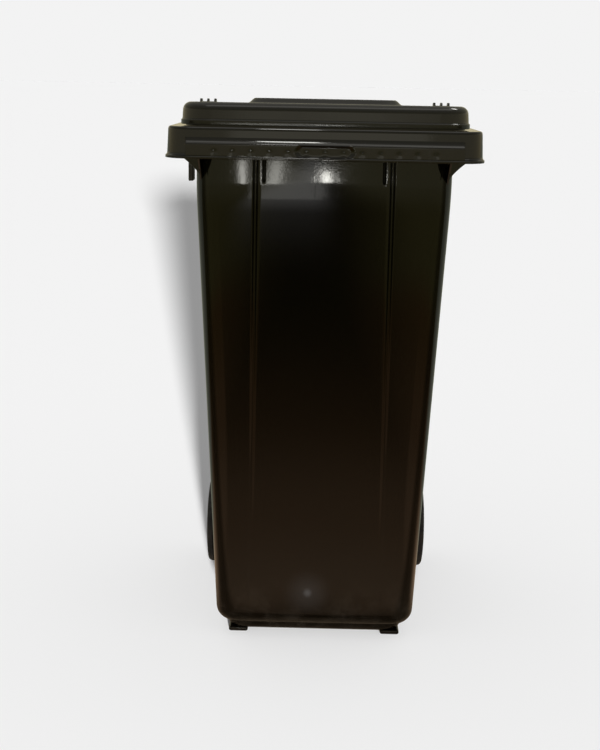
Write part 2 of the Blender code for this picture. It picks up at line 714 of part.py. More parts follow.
def make_lock_spring(name, side, mat):
    """Coil between the plunger's head and the top of its pocket."""
    low = AXLE_Z + PLUNGER_TOP + SPRING_WIRE + GAP
    high = AXLE_Z + POCKET_TOP - SPRING_WIRE - GAP
    centre = side * (POCKET_X + 0.0057)
    curve = bpy.data.curves.new(name, "CURVE")
    curve.dimensions = "3D"
    curve.bevel_depth = SPRING_WIRE
    curve.bevel_resolution = 1
    curve.use_fill_caps = True
    count = SPRING_TURNS * 10 + 1
    line = curve.splines.new("POLY")
    line.points.add(count - 1)
    for i in range(count):
        angle = 2 * math.pi * i / 10
        line.points[i].co = (centre + SPRING_R * math.cos(angle), AXLE_Y + SPRING_R * math.sin(angle),
                             low + (high - low) * i / (count - 1), 1.0)
    coil = bpy.data.objects.new(name + "_curve", curve)
    CUTTERS.objects.link(coil)
    bpy.context.view_layer.update()
    evaluated = coil.evaluated_get(bpy.context.evaluated_depsgraph_get())
    mesh = bpy.data.meshes.new_from_object(evaluated)
    mesh.name = name
    bpy.data.objects.remove(coil, do_unlink=True)
    bm = bmesh.new()
    bm.from_mesh(mesh)
    bmesh.ops.remove_doubles(bm, verts=bm.verts, dist=0.00001)
    bm.to_mesh(mesh)
    bm.free()
    return publish(add_object(name, mesh), mat)


def make_running_gear():
    hub_black = make_material("hub_plastic", HUB_BLACK, 0.45, 0.0)
    rubber = make_material("tyre_rubber", RUBBER, 0.75, 0.0)
    acetal = make_material("bush_plastic", ACETAL, 0.40, 0.0)
    steel = make_material("bright_steel", STEEL, 0.30, 1.0)
    pin_plastic = make_material("pin_plastic", HUB_BLACK, 0.35, 0.0)
    make_axle()
    for label, side in (("left", -1), ("right", 1)):
        make_hinge_pin(f"hinge_pin_{label}", side, pin_plastic)
        make_tyre(f"tyre_{label}", side, rubber)
        make_wheel_centre(f"wheel_centre_{label}", side, hub_black)
        make_bush(f"wheel_bush_{label}", side, acetal)
        make_washer(f"axle_washer_{label}", side, steel)
        make_hub_cap(f"hub_cap_{label}", side, hub_black)
        make_plunger(f"lock_plunger_{label}", side, steel)
        make_lock_spring(f"lock_spring_{label}", side, steel)


make_tub()
make_rim_clip()
make_lid()
make_running_gear()
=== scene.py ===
"""Looks for a two-wheeled 240 litre refuse bin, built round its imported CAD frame.

Metres, +Z up, front towards -Y. Every visible piece is a finer mesh that stands for a CAD node.
"""
import math

import bmesh
import bpy
import numpy as np
from mathutils import Matrix, Vector


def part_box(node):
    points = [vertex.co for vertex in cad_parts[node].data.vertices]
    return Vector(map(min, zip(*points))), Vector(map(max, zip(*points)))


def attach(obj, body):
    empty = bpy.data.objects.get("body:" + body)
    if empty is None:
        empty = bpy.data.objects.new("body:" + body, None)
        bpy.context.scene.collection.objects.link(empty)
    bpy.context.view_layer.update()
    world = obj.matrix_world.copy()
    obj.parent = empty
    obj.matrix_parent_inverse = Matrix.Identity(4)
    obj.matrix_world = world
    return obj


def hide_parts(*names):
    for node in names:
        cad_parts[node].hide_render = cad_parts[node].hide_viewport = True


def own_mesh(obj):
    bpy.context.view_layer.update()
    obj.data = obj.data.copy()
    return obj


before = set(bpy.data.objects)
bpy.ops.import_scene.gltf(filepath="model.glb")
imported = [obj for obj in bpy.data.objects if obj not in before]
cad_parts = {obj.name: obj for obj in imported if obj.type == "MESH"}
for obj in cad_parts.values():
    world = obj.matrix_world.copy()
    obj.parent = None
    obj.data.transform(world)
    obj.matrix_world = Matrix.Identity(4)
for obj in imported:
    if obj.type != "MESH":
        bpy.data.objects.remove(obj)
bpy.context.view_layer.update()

# ------------------------------ sizes, as in the CAD part
WALL = 0.0045
NECK_Z = 0.925
TUB_HALF_W0, TUB_HALF_SLOPE = 0.2022, 0.0374
TUB_FRONT0, TUB_FRONT_SLOPE = -0.2124, -0.1148
TUB_BACK0, TUB_BACK_SLOPE = 0.2250, 0.0400
TUB_CORNER = 0.042
BASE_Z = 0.006
BASE_ROUND = 0.045
BASE_ROUND_Z = 0.062
FRONT_ROUND_FACTOR = 1.5
GROOVE_X_TOP, GROOVE_X_BOTTOM = 0.1250, 0.1325
GROOVE_W, GROOVE_DEPTH = 0.0135, 0.005
GROOVE_BOTTOM_Z, GROOVE_TOP_Z = 0.085, 0.980
SHORT_GROOVE_W, SHORT_GROOVE_GAP = 0.0080, 0.0045

RIM_Z = 1.048
FLANGE_T = 0.004
LIP_Z = 0.992
LIP_OUT, LIP_OUT_FRONT = 0.005, 0.011
COLLAR_HALF_W, COLLAR_FRONT, COLLAR_BACK = 0.285, -0.354, 0.285
COLLAR_CORNER, COLLAR_BACK_CORNER = 0.045, 0.030
BAND_HALF_W, BAND_FRONT, BAND_Z = 0.2495, -0.3615, (0.9955, 1.0200)
THUMB_HALF_W, THUMB_DEPTH = 0.048, 0.0035
COMB_RIB_PITCH = 0.033

LID_HALF_W, LID_FRONT, LID_BACK = 0.2635, -0.3280, 0.2865
LID_CORNER, LID_BACK_CORNER = 0.058, 0.035
LID_Z, LID_BEAD_Z, LID_TOP_Z = 1.0505, 1.0605, 1.0915
LID_BEAD_OUT, LID_FALL, LID_TOP_ROUND, LID_T = 0.0022, 0.0105, 0.015, 0.003
PANEL_HALF_W, PANEL_Y, PANEL_CORNER, PANEL_H = 0.158, (-0.056, 0.235), 0.045, 0.010

HINGE_Y, HINGE_Z = 0.335, 1.0725
FIN_R, EYE_R, PIN_R = 0.016, 0.0095, 0.004
LUG_IN, LUG_OUT = (0.2495, 0.2550), (0.2820, 0.2875)
EYE_X, MID_FIN_X = (0.2556, 0.2814), (0.2660, 0.2710)
BAR_Y, BAR_Z, BAR_R, BAR_HALF = 0.350, 1.054, 0.015, 0.236
ARM_X = (0.222, 0.2445)

AXLE_Y, AXLE_Z, AXLE_R = 0.239, 0.100, 0.010
WHEEL_X = 0.2315
ARCH_X, ARCH_R = 0.1975, 0.114
HEEL = ((0.300, 0.255), (0.195, 0.186), (0.135, 0.010), (0.135, -0.020), (0.300, -0.020))    # (y, z)
AXLE_LUG_R = 0.022
AXLE_LUGS = ((0.1770, 0.2015), (0.0640, 0.0760))
WHEEL_R, TYRE_BORE, SIPE_DEPTH = 0.100, 0.078, 0.0012
HUB_X = (WHEEL_X - 0.0270, WHEEL_X + 0.0240)
HUB_R, BUSH_R, WASHER_R, CAP_R = 0.027, 0.0142, 0.019, 0.031
CAP_X = HUB_X[1] + 0.0040
AXLE_HALF = HUB_X[1] - 0.0030
BUSH_END = 0.2415
FOOT_X, FOOT_Y = (0.139, 0.179), (-0.178, -0.140)
GAP = 0.0003                  # running gap round pins, axle and bushes

ARC_STEPS = 12                # segments in a quarter corner
ROUND = 48                    # segments in a full turn
SIDES = (("left", -1), ("right", 1))
CUT_X = (0.2400, 0.3000)      # where the cutters for the hinge's bores start and end


# ------------------------------ materials
class Nodes:
    """A node tree with short ways to add and join its nodes."""

    def __init__(self, tree, place="Object"):
        self.tree = tree
        self.place = self.add("ShaderNodeTexCoord").outputs[place]

    def add(self, kind, **values):
        node = self.tree.nodes.new(kind)
        for key, value in values.items():
            setattr(node, key, value)
        return node

    def feed(self, socket, value):
        """Gives a socket another node's output, a colour, or a plain value."""
        if isinstance(value, bpy.types.NodeSocket):
            self.tree.links.new(value, socket)
        else:
            socket.default_value = (*value, 1.0) if socket.type == "RGBA" else value

    def along(self, axis):
        split = self.add("ShaderNodeSeparateXYZ")
        self.feed(split.inputs["Vector"], self.place)
        return split.outputs[axis]

    def maths(self, operation, first, second=0.0, clamp=False):
        node = self.add("ShaderNodeMath", operation=operation, use_clamp=clamp)
        self.feed(node.inputs[0], first)
        self.feed(node.inputs[1], second)
        return node.outputs["Value"]

    def plus(self, first, second, clamp=False):
        return self.maths("ADD", first, second, clamp)

    def times(self, first, second):
        return self.maths("MULTIPLY", first, second)

    def size_of(self, value):
        return self.maths("ABSOLUTE", value)

    def reach(self, across, along):
        """Distance from the origin of two values at right angles."""
        return self.maths("SQRT", self.plus(self.times(across, across), self.times(along, along)))

    def spread(self, value, low, high, to_low=0.0, to_high=1.0, smooth=True):
        """Goes from one level to another as a value goes from low to high, with soft ends if smooth."""
        node = self.add("ShaderNodeMapRange", interpolation_type="SMOOTHSTEP" if smooth else "LINEAR")
        for socket, level in zip(node.inputs, (value, low, high, to_low, to_high)):
            self.feed(socket, level)
        return node.outputs["Result"]

    def mix_colour(self, share, a, b, blend="MIX"):
        node = self.add("ShaderNodeMix", data_type="RGBA", blend_type=blend)
        for i, value in ((0, share), (6, a), (7, b)):
            self.feed(node.inputs[i], value)
        return node.outputs[2]

    def ramp(self, value, stops):
        """A colour ramp with smooth steps through (place, colour) stops."""
        node = self.add("ShaderNodeValToRGB")
        node.color_ramp.interpolation = "EASE"
        items = node.color_ramp.elements
        while len(items) < len(stops):
            items.new(0.5)
        for item, (place, colour) in zip(items, stops):
            item.position = place
            item.color = (*colour, 1.0)
        self.feed(node.inputs["Fac"], value)
        return node.outputs["Color"]

    def by_ray(self, ray, otherwise, chosen):
        """One shader for one kind of ray and another for the rest."""
        path = self.add("ShaderNodeLightPath")
        mix = self.add("ShaderNodeMixShader")
        for socket, value in zip(mix.inputs, (path.outputs[ray], otherwise, chosen)):
            self.feed(socket, value)
        return mix.outputs[0]


class Paint(Nodes):
    """A Principled material whose patterns follow the object."""

    def __init__(self, name, colour, roughness, metallic=0.0, ior=1.5):
        self.mat = bpy.data.materials.new(name)
        self.mat.use_nodes = True
        super().__init__(self.mat.node_tree)
        self.shader = self.tree.nodes["Principled BSDF"]
        self.set("Base Color", colour)
        self.set("Roughness", roughness)
        self.set("Metallic", metallic)
        self.set("IOR", ior)
        self.bump_input = None

    def set(self, name, value):
        self.feed(self.shader.inputs[name], value)

    def noise(self, scale, detail=3.0, rough=0.5, stretch=(1.0, 1.0, 1.0)):
        mapping = self.add("ShaderNodeMapping")
        self.feed(mapping.inputs["Vector"], self.place)
        self.feed(mapping.inputs["Scale"], stretch)
        node = self.add("ShaderNodeTexNoise")
        for name, value in (("Vector", mapping.outputs["Vector"]), ("Scale", scale), ("Detail", detail),
                            ("Roughness", rough)):
            self.feed(node.inputs[name], value)
        return node.outputs["Fac"]

    def bump(self, height, distance):
        """Stacks one more bump on the surface."""
        node = self.add("ShaderNodeBump")
        self.feed(node.inputs["Distance"], distance)
        self.feed(node.inputs["Strength"], 1.0)
        self.feed(node.inputs["Height"], height)
        if self.bump_input is not None:
            self.feed(node.inputs["Normal"], self.bump_input)
        self.bump_input = node.outputs["Normal"]
        self.set("Normal", self.bump_input)


def moulded_plastic(name, green, brown, gloss):
    """Glossy polyethylene: its own green above and brown below, the brown a painted reflection of the warm floor;
    mottled, wavy, scuffed, and dusty near the floor.
    """
    paint = Paint(name, green, gloss, ior=1.45)
    mottled = paint.spread(paint.noise(7.0, 4.0, 0.6), 0.35, 0.65, smooth=False)
    height = paint.along("Z")
    # painted reflection: the colour turns from green to brown towards the floor, standing for the warm floor that the
    # lower wall reflects
    floor_reflection_share = paint.spread(height, 0.62, 0.10)
    tone_and_reflection = paint.mix_colour(floor_reflection_share, green, brown)
    darker = paint.mix_colour(mottled, tone_and_reflection, tuple(0.72 * c for c in green))
    mottle_share = paint.times(paint.spread(paint.noise(2.2, 2.0), 0.3, 0.7), 0.5)
    body = paint.mix_colour(mottle_share, tone_and_reflection, darker)
    scuffs = paint.spread(paint.noise(46.0, 6.0, 0.75, (1.0, 1.0, 0.06)), 0.60, 0.78)
    scuff_zone = paint.spread(paint.noise(3.1, 2.0), 0.48, 0.72)
    scuff = paint.times(scuffs, scuff_zone)
    worn = paint.mix_colour(paint.times(scuff, 0.35), body, tuple(2.6 * c + 0.004 for c in brown))
    dusty = paint.spread(height, 0.16, 0.0, 0.0, 0.5)
    dust = paint.times(dusty, paint.spread(paint.noise(24.0, 5.0, 0.7), 0.40, 0.75))
    paint.set("Base Color", paint.mix_colour(dust, worn, (0.060, 0.046, 0.032)))
    smudges = paint.spread(paint.noise(5.0, 5.0, 0.65), 0.35, 0.75, gloss * 0.85, gloss * 1.35)
    rough = paint.plus(smudges, paint.times(scuff, 0.30), clamp=True)
    paint.set("Roughness", paint.plus(rough, paint.times(dust, 0.45), clamp=True))
    paint.bump(paint.noise(6.5, 1.0, 0.3, (1.0, 1.0, 0.45)), 0.0006)
    paint.bump(paint.noise(260.0, 2.0), 0.000012)
    paint.bump(scuffs, 0.00002)
    return paint.mat


def satin_plastic(name, colour, roughness):
    """Black or olive moulding with a fine texture and paler rubbed patches."""
    paint = Paint(name, colour, roughness)
    rubbed = paint.spread(paint.noise(30.0, 5.0, 0.7), 0.45, 0.75, 0.0, 0.5)
    paint.set("Base Color", paint.mix_colour(rubbed, colour, tuple(1.9 * c + 0.006 for c in colour)))
    paint.set("Roughness", paint.spread(paint.noise(60.0, 3.0), 0.3, 0.7, roughness - 0.06, roughness + 0.10))
    paint.bump(paint.noise(900.0, 2.0), 0.00008)
    return paint.mat


def tyre_rubber():
    """Matt black rubber, greyed and grained, with road dust on the tread."""
    rubber = (0.010, 0.010, 0.010)
    paint = Paint("tyre_rubber", rubber, 0.75)
    grey = paint.spread(paint.noise(18.0, 6.0, 0.7), 0.40, 0.80)
    paint.set("Base Color", paint.mix_colour(grey, rubber, (0.034, 0.030, 0.026)))
    paint.set("Roughness", paint.spread(paint.noise(40.0, 4.0), 0.3, 0.7, 0.62, 0.88))
    paint.bump(paint.noise(420.0, 4.0, 0.7), 0.00025)
    return paint.mat


def zinc_steel(name, roughness):
    """Zinc-plated steel: drawn lines, cloudy plating and a few dull spots."""
    zinc = (0.50, 0.51, 0.52)
    paint = Paint(name, zinc, roughness, metallic=1.0)
    cloud = paint.spread(paint.noise(60.0, 5.0, 0.65), 0.35, 0.75)
    paint.set("Base Color", paint.mix_colour(cloud, zinc, (0.36, 0.35, 0.33)))
    drawn = paint.noise(240.0, 4.0, 0.6, (0.1, 1.0, 1.0))
    paint.set("Roughness", paint.spread(drawn, 0.3, 0.7, roughness - 0.08, roughness + 0.16))
    paint.bump(paint.noise(500.0, 3.0, 0.6, (0.05, 1.0, 1.0)), 0.00005)
    return paint.mat


# GREEN and LID_GREEN are the plastics' own colours; BROWN and LID_BROWN are a painted reflection of the warm floor on
# the lower wall, and they also tint the scuffs
GREEN, BROWN = (0.0022, 0.0018, 0.0007), (0.0042, 0.0024, 0.0011)
LID_GREEN, LID_BROWN = (0.0045, 0.0040, 0.0020), (0.0045, 0.0036, 0.0020)
MATERIALS = {
    "tub_plastic": moulded_plastic("tub_plastic", GREEN, BROWN, 0.055),
    "lid_plastic": moulded_plastic("lid_plastic", LID_GREEN, LID_BROWN, 0.13),
    "clip_plastic": satin_plastic("clip_plastic", (0.014, 0.012, 0.006), 0.34),
    "pin_plastic": satin_plastic("pin_plastic", (0.014, 0.014, 0.013), 0.36),
    "tyre_rubber": tyre_rubber(),
    "hub_plastic": satin_plastic("hub_plastic", (0.013, 0.013, 0.013), 0.42),
    "cap_plastic": satin_plastic("cap_plastic", (0.013, 0.013, 0.013), 0.34),
    "bush_plastic": satin_plastic("bush_plastic", (0.56, 0.54, 0.48), 0.40),
    "axle_steel": zinc_steel("axle_steel", 0.34),
    "washer_steel": zinc_steel("washer_steel", 0.30),
    "lock_steel": zinc_steel("lock_steel", 0.26),
}


# ------------------------------ making shapes
def add_object(name, mesh):
    item = bpy.data.objects.new(name, mesh)
    bpy.context.scene.collection.objects.link(item)
    return item


def from_bmesh(name, bm):
    bmesh.ops.recalc_face_normals(bm, faces=bm.faces)
    mesh = bpy.data.meshes.new(name)
    bm.to_mesh(mesh)
    bm.free()
    return add_object(name, mesh)


def finish_piece(item, slot, body, node, smooth_deg=40):
    """Gives a shape its finish and its CAD body, and hides the CAD node that it stands for."""
    mesh = item.data
    mesh.materials.clear()
    mesh.materials.append(MATERIALS[slot])
    mesh.shade_smooth()
    mesh.set_sharp_from_angle(angle=math.radians(smooth_deg))
    flat = item.modifiers.new("flat_faces", "WEIGHTED_NORMAL")
    flat.keep_sharp = True
    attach(item, body)
    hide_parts(node)
    return item


def tub_piece(item, smooth_deg=40):
    return finish_piece(item, "tub_plastic", "tub", "tub", smooth_deg)


def lid_piece(item, smooth_deg=40):
    return finish_piece(item, "lid_plastic", "lid", "lid", smooth_deg)


def soften(points, radius, closed=True, steps=3):
    """Rounds the corners of a run of points, in any number of dimensions."""
    points = [np.array(p, float) for p in points]
    count = len(points)
    out = []
    for i, here in enumerate(points):
        if not closed and i in (0, count - 1):
            out.append(here)
            continue
        before, after = points[i - 1], points[(i + 1) % count]
        back, ahead = before - here, after - here
        reach = min(radius, 0.45 * np.linalg.norm(back), 0.45 * np.linalg.norm(ahead))
        start = here + back / np.linalg.norm(back) * reach
        end = here + ahead / np.linalg.norm(ahead) * reach
        for k in range(steps + 1):
            t = k / steps
            out.append((1 - t) ** 2 * start + 2 * t * (1 - t) * here + t * t * end)
    return [tuple(p) for p in out]


def loft(name, rings, closed=False):
    """Joins rings of equal count, with end caps unless the run of rings closes on itself."""
    bm = bmesh.new()
    loops = [[bm.verts.new(point) for point in ring] for ring in rings]
    pairs = list(zip(loops, loops[1:]))
    if closed:
        pairs.append((loops[-1], loops[0]))
    else:
        bm.faces.new(loops[0])
        bm.faces.new(loops[-1])
    for low, high in pairs:
        for i in range(len(low)):
            j = (i + 1) % len(low)
            bm.faces.new((low[i], low[j], high[j], high[i]))
    return from_bmesh(name, bm)


def bevelled(item, width, segments=2, angle_deg=28, keep=None):
    """Rounds the edges sharper than an angle, or those of them that keep accepts."""
    bm = bmesh.new()
    bm.from_mesh(item.data)
    limit = math.radians(angle_deg)
    edges = [e for e in bm.edges if e.is_manifold and e.calc_face_angle(0.0) > limit
             and (keep is None or keep(e))]
    bmesh.ops.bevel(bm, geom=edges, offset=width, segments=segments, profile=0.5, affect="EDGES",
                    clamp_overlap=True)
    bmesh.ops.recalc_face_normals(bm, faces=bm.faces)
    bm.to_mesh(item.data)
    bm.free()
    return item


def prism(name, outline, axis, start, end, bevel=0.0008):
    """Extrudes a flat outline along an axis and rounds its edges."""
    at = "XYZ".index(axis)
    item = loft(name, [[(*point[:at], level, *point[at:]) for point in outline] for level in (start, end)])
    return bevelled(item, bevel) if bevel else item


def block(name, low, high, bevel=0.001, segments=3):
    """A box with rounded edges."""
    bm = bmesh.new()
    bmesh.ops.create_cube(bm, size=1.0)
    bmesh.ops.scale(bm, vec=[b - a for a, b in zip(low, high)], verts=bm.verts)
    bmesh.ops.translate(bm, vec=[(a + b) / 2 for a, b in zip(low, high)], verts=bm.verts)
    bmesh.ops.bevel(bm, geom=bm.edges[:], offset=bevel, segments=segments, profile=0.5, affect="EDGES")
    return from_bmesh(name, bm)


def turned(name, profile, y, z, segments=ROUND, closed=True):
    """Turns a profile of (radius, x) points about a line along X through y, z."""
    bm = bmesh.new()
    rows = []
    for radius, x in profile:
        if radius < 1e-7:
            rows.append([bm.verts.new((x, y, z))])
            continue
        rows.append([bm.verts.new((x, y + radius * math.cos(a), z + radius * math.sin(a)))
                     for a in np.linspace(0, 2 * math.pi, segments, endpoint=False)])
    pairs = list(zip(rows, rows[1:]))
    if closed:
        pairs.append((rows[-1], rows[0]))
    for first, second in pairs:
        for i in range(segments):
            j = (i + 1) % segments
            if len(first) == 1:
                bm.faces.new((first[0], second[j], second[i]))
            elif len(second) == 1:
                bm.faces.new((first[i], first[j], second[0]))
            else:
                bm.faces.new((first[i], first[j], second[j], second[i]))
    return from_bmesh(name, bm)


def rod(name, radius, x0, x1, y, z, segments=ROUND, edge=0.0008):
    """A bar along X with rounded ends."""
    half = soften([(0.0, x0), (radius, x0), (radius, x1), (0.0, x1)], edge, closed=False)
    return turned(name, half, y, z, segments, closed=False)


def ring_piece(name, radii, ends, y, z, edge, segments=ROUND):
    """A ring about a line along X with rounded edges."""
    (inner, outer), (x0, x1) = radii, ends
    section = soften([(inner, x0), (inner, x1), (outer, x1), (outer, x0)], edge)
    return turned(name, section, y, z, segments)


def pin_bore(side):
    return rod("pin_bore", PIN_R + GAP, side * CUT_X[0], side * CUT_X[1], HINGE_Y, HINGE_Z, 32, 0.0001)


def rounded_half(half_w, front, back, r_front, r_back):
    """The +X half of a rounded rectangle, from the front wall round to the back wall."""
    points = []
    for middle_y, radius, start in ((front + r_front, r_front, -90), (back - r_back, r_back, 0)):
        for i in range(ARC_STEPS + 1):
            angle = math.radians(start + 90 * i / ARC_STEPS)
            points.append((half_w - radius + radius * math.cos(angle), middle_y + radius * math.sin(angle)))
    return points


def level_ring(half, z):
    """Closes a +X half outline with its mirror image, at height z."""
    return [(x, y, z) for x, y in half + [(-x, y) for x, y in reversed(half)]]


def cut(item, cutters):
    """Takes the cutters out of an item and throws them away."""
    for cutter in cutters:
        step = item.modifiers.new("cut", "BOOLEAN")
        step.operation = "DIFFERENCE"
        step.object = cutter
        step.solver = "EXACT"
    bpy.context.view_layer.update()
    graph = bpy.context.evaluated_depsgraph_get()
    mesh = bpy.data.meshes.new_from_object(item.evaluated_get(graph))
    item.modifiers.clear()
    item.data = mesh
    for cutter in cutters:
        bpy.data.objects.remove(cutter, do_unlink=True)
    return item


# ------------------------------ tub
def under_inset(z):
    """How far the wall has turned in under the tub at height z."""
    if z >= BASE_ROUND_Z:
        return 0.0
    foot_ring_z = 0.0295
    if z > foot_ring_z:
        drop = BASE_ROUND_Z - z
        return BASE_ROUND - math.sqrt(BASE_ROUND ** 2 - drop ** 2)
    return 0.0205 + 0.0095 * ((foot_ring_z - z) / (foot_ring_z - BASE_Z)) ** 4


def smooth_step(value, low, high):
    t = min(1.0, max(0.0, (value - low) / (high - low)))
    return t * t * (3 - 2 * t)


def groove_section(near, width, depth, wall):
    """(x, depth) points across one groove, a smooth wave."""
    steps = 14
    near -= 0.6 * wall
    width += 1.2 * wall
    points = []
    for i in range(steps + 1):
        share = 0.5 - 0.5 * math.cos(2 * math.pi * i / steps)
        points.append((near + width * i / steps, depth * share))
    return points


def groove_marks(z, wall):
    """(x, depth) points across the +X grooves of the front wall, from the centre outwards."""
    share = (z - GROOVE_BOTTOM_Z) / (GROOVE_TOP_Z - GROOVE_BOTTOM_Z)
    centre = GROOVE_X_BOTTOM + (GROOVE_X_TOP - GROOVE_X_BOTTOM) * share
    near = centre - GROOVE_W / 2
    depth = GROOVE_DEPTH * smooth_step(z, 0.079, 0.094) * (0.20 + 0.80 * smooth_step(z, 0.25, 0.90))
    short_depth = 0.8 * GROOVE_DEPTH * smooth_step(z, 0.9475, 0.9535)
    short_near = near - SHORT_GROOVE_GAP - SHORT_GROOVE_W
    if wall:
        return groove_section(near, GROOVE_W, depth, wall)
    short = groove_section(short_near, SHORT_GROOVE_W, short_depth, 0.0)
    return short + groove_section(near, GROOVE_W, depth, 0.0)


def tub_ring(z, wall=0.0):
    """The tub's outline at height z, or its inside when a wall thickness is given."""
    neck_blend = 0.030
    taper_z = min(z, NECK_Z)
    if abs(z - NECK_Z) < neck_blend:
        taper_z = NECK_Z - (NECK_Z + neck_blend - z) ** 2 / (4 * neck_blend)
    inset = under_inset(z)
    half_w = TUB_HALF_W0 + TUB_HALF_SLOPE * taper_z - inset - wall
    front = TUB_FRONT0 + TUB_FRONT_SLOPE * taper_z + FRONT_ROUND_FACTOR * inset + wall
    back = TUB_BACK0 + TUB_BACK_SLOPE * taper_z - inset - wall
    corner = TUB_CORNER - 0.3 * inset - wall
    half = [(x, front + depth) for x, depth in groove_marks(z, wall)]
    half += rounded_half(half_w, front, back, corner, corner)
    return level_ring(half, z)


def tub_levels(bottom, top):
    """Heights of the tub's rings: close together where its wall bends."""
    under = [BASE_Z + 0.0235 * i / 6 for i in range(7)]
    turn = [BASE_ROUND_Z - BASE_ROUND * math.sin(math.radians(46.2 * i / 8)) for i in range(8)]
    wall = list(np.linspace(0.079, 0.094, 6)) + list(np.linspace(0.130, 0.890, 12))
    neck = list(np.linspace(0.896, 0.9545, 12)) + list(np.linspace(0.9475, 0.9535, 5)) + [0.970, 0.990, 1.010]
    levels = sorted(set(round(z, 5) for z in under + turn + wall + neck))
    return [bottom] + [z for z in levels if bottom + 0.0005 < z < top - 0.0005] + [top]


def side_rods(name, radius, x0, x1, y, z, segments=64):
    return [rod(f"{name}_{side}", radius, side * x0, side * x1, y, z, segments, 0.0001) for side in (-1, 1)]


def heel_cutter(grow):
    outline = [(y - grow, z + grow * 0.4) for y, z in HEEL]
    return prism("heel_cutter", outline, "X", -0.300, 0.300, bevel=0.0)


def make_tub_shell():
    """Tapered walls, floor, wheel arches and heel as one hollow moulding."""
    top = 1.0465
    shell = loft("tub_shell", [tub_ring(z) for z in tub_levels(BASE_Z, top)])
    cut(shell, side_rods("arch_cutter", ARCH_R, ARCH_X, 0.300, AXLE_Y, AXLE_Z) + [heel_cutter(0.0)])
    cavity = loft("cavity", [tub_ring(z, WALL) for z in tub_levels(BASE_Z + 0.005, 1.100)])
    inner_arches = side_rods("inner_arch", ARCH_R + WALL, ARCH_X - WALL, 0.300, AXLE_Y, AXLE_Z)
    cut(cavity, inner_arches + [heel_cutter(WALL)])
    cut(shell, [cavity])
    return tub_piece(shell, 32)


def collar_ring(side, front, back, z):
    half = rounded_half(COLLAR_HALF_W + side, COLLAR_FRONT - front, COLLAR_BACK + back,
                        COLLAR_CORNER + side, COLLAR_BACK_CORNER + side)
    return level_ring(half, z)


def make_collar():
    """Rim flange and comb-lift collar, with a turned-out bottom lip and rounded edges."""
    under = RIM_Z - FLANGE_T
    profile = [
        (-0.0505, -0.0375, -0.0245, RIM_Z), (0.0, 0.0, 0.0, RIM_Z),
        (0.0022, 0.0035, 0.0022, LIP_Z + 0.0072), (LIP_OUT, LIP_OUT_FRONT, 0.0050, LIP_Z + 0.0045),
        (LIP_OUT, LIP_OUT_FRONT, 0.0050, LIP_Z), (-0.0005, -0.0005, -0.0005, LIP_Z),
        (-0.0035, -0.0035, -0.0035, under - 0.004), (-0.0060, -0.0060, -0.0060, under),
        (-0.0505, -0.0375, -0.0245, under)]
    radii = [0.0010, 0.0060, 0.0030, 0.0016, 0.0012, 0.0008, 0.0020, 0.0020, 0.0008]
    rounded = []
    for i, radius in enumerate(radii):
        corner = [profile[i - 1], profile[i], profile[(i + 1) % len(profile)]]
        rounded += soften(corner, radius, closed=False, steps=5 if radius > 0.005 else 3)[1:-1]
    collar = loft("collar", [collar_ring(*step) for step in rounded], closed=True)
    return tub_piece(collar)


def make_upstand():
    """Low bead on the rim that the lid closes round."""
    low, high = RIM_Z - 0.002, 1.0555
    profile = soften([(0.0060, low), (0.0060, high), (0.0085, high), (0.0085, low)], 0.0007)
    rings = []
    for inset, z in profile:
        half = rounded_half(LID_HALF_W - inset, LID_FRONT + inset, 0.2790 - inset,
                            LID_CORNER - inset, LID_BACK_CORNER - inset)
        rings.append(level_ring(half, z))
    return tub_piece(loft("rim_upstand", rings, closed=True))


def thumb_depth(x, z):
    """How far the thumb recess sets the band's face back: its ends lean, its edges are soft."""
    low, high = BAND_Z
    lean = 0.0035 * math.sin(math.pi * (z - low) / (high - low) * 2 - math.pi / 2)
    reach = THUMB_HALF_W + lean
    return THUMB_DEPTH * (1 - smooth_step(abs(x), reach - 0.0022, reach + 0.0012))


def sink_depth(x, z):
    """Shallow dimples in the band where ribs meet it from behind."""
    nearest = (round(x / COMB_RIB_PITCH)) * COMB_RIB_PITCH
    if abs(nearest) > 0.215:
        return 0.0
    across = (x - nearest) / 0.0045
    up = (z - 1.0045) / 0.0048
    return 0.00045 * math.exp(-across * across - up * up)


def make_band():
    """Proud band across the collar's front, as a fine grid so that its recess and dimples are real."""
    low, high = BAND_Z
    inside = -0.3548
    lean = 0.0010
    face = []
    for i in range(13):
        z = low + 0.0018 + (high - low - 0.0042) * i / 12
        face.append((BAND_FRONT - lean * (1 - i / 12), z))
    bottom = [(inside, low), (BAND_FRONT + 0.0010, low), (BAND_FRONT - lean + 0.0003, low + 0.0006)]
    ledge = ((0.0002, -0.0008), (0.0009, 0.0), (0.0020, 0.0010), (0.0034, 0.0027), (0.0046, 0.0050),
             (0.0055, 0.0075), (0.0062, 0.0100), (inside - BAND_FRONT, 0.0100))
    section = bottom + face + [(BAND_FRONT + back, high + up) for back, up in ledge]
    rings = []
    end_round = 0.0016
    ends = (0.0, 0.0006, end_round)
    count = 188
    marks = [-BAND_HALF_W + e for e in ends]
    marks += list(np.linspace(-BAND_HALF_W + 0.003, BAND_HALF_W - 0.003, count))
    marks += [BAND_HALF_W - e for e in reversed(ends)]
    for x in marks:
        edge = BAND_HALF_W - abs(x)
        back = end_round - math.sqrt(max(0.0, end_round ** 2 - max(0.0, end_round - edge) ** 2))
        ring = []
        for y, z in section:
            on_face = y < inside - 0.0005
            fade = smooth_step(z, low + 0.0012, low + 0.0038) * smooth_step(high - z, 0.0008, 0.0034)
            set_back = (thumb_depth(x, z) + sink_depth(x, z)) * fade if on_face else 0.0
            ring.append((x, y + set_back + back * on_face, z))
        rings.append(ring)
    return tub_piece(loft("collar_band", rings), 50)


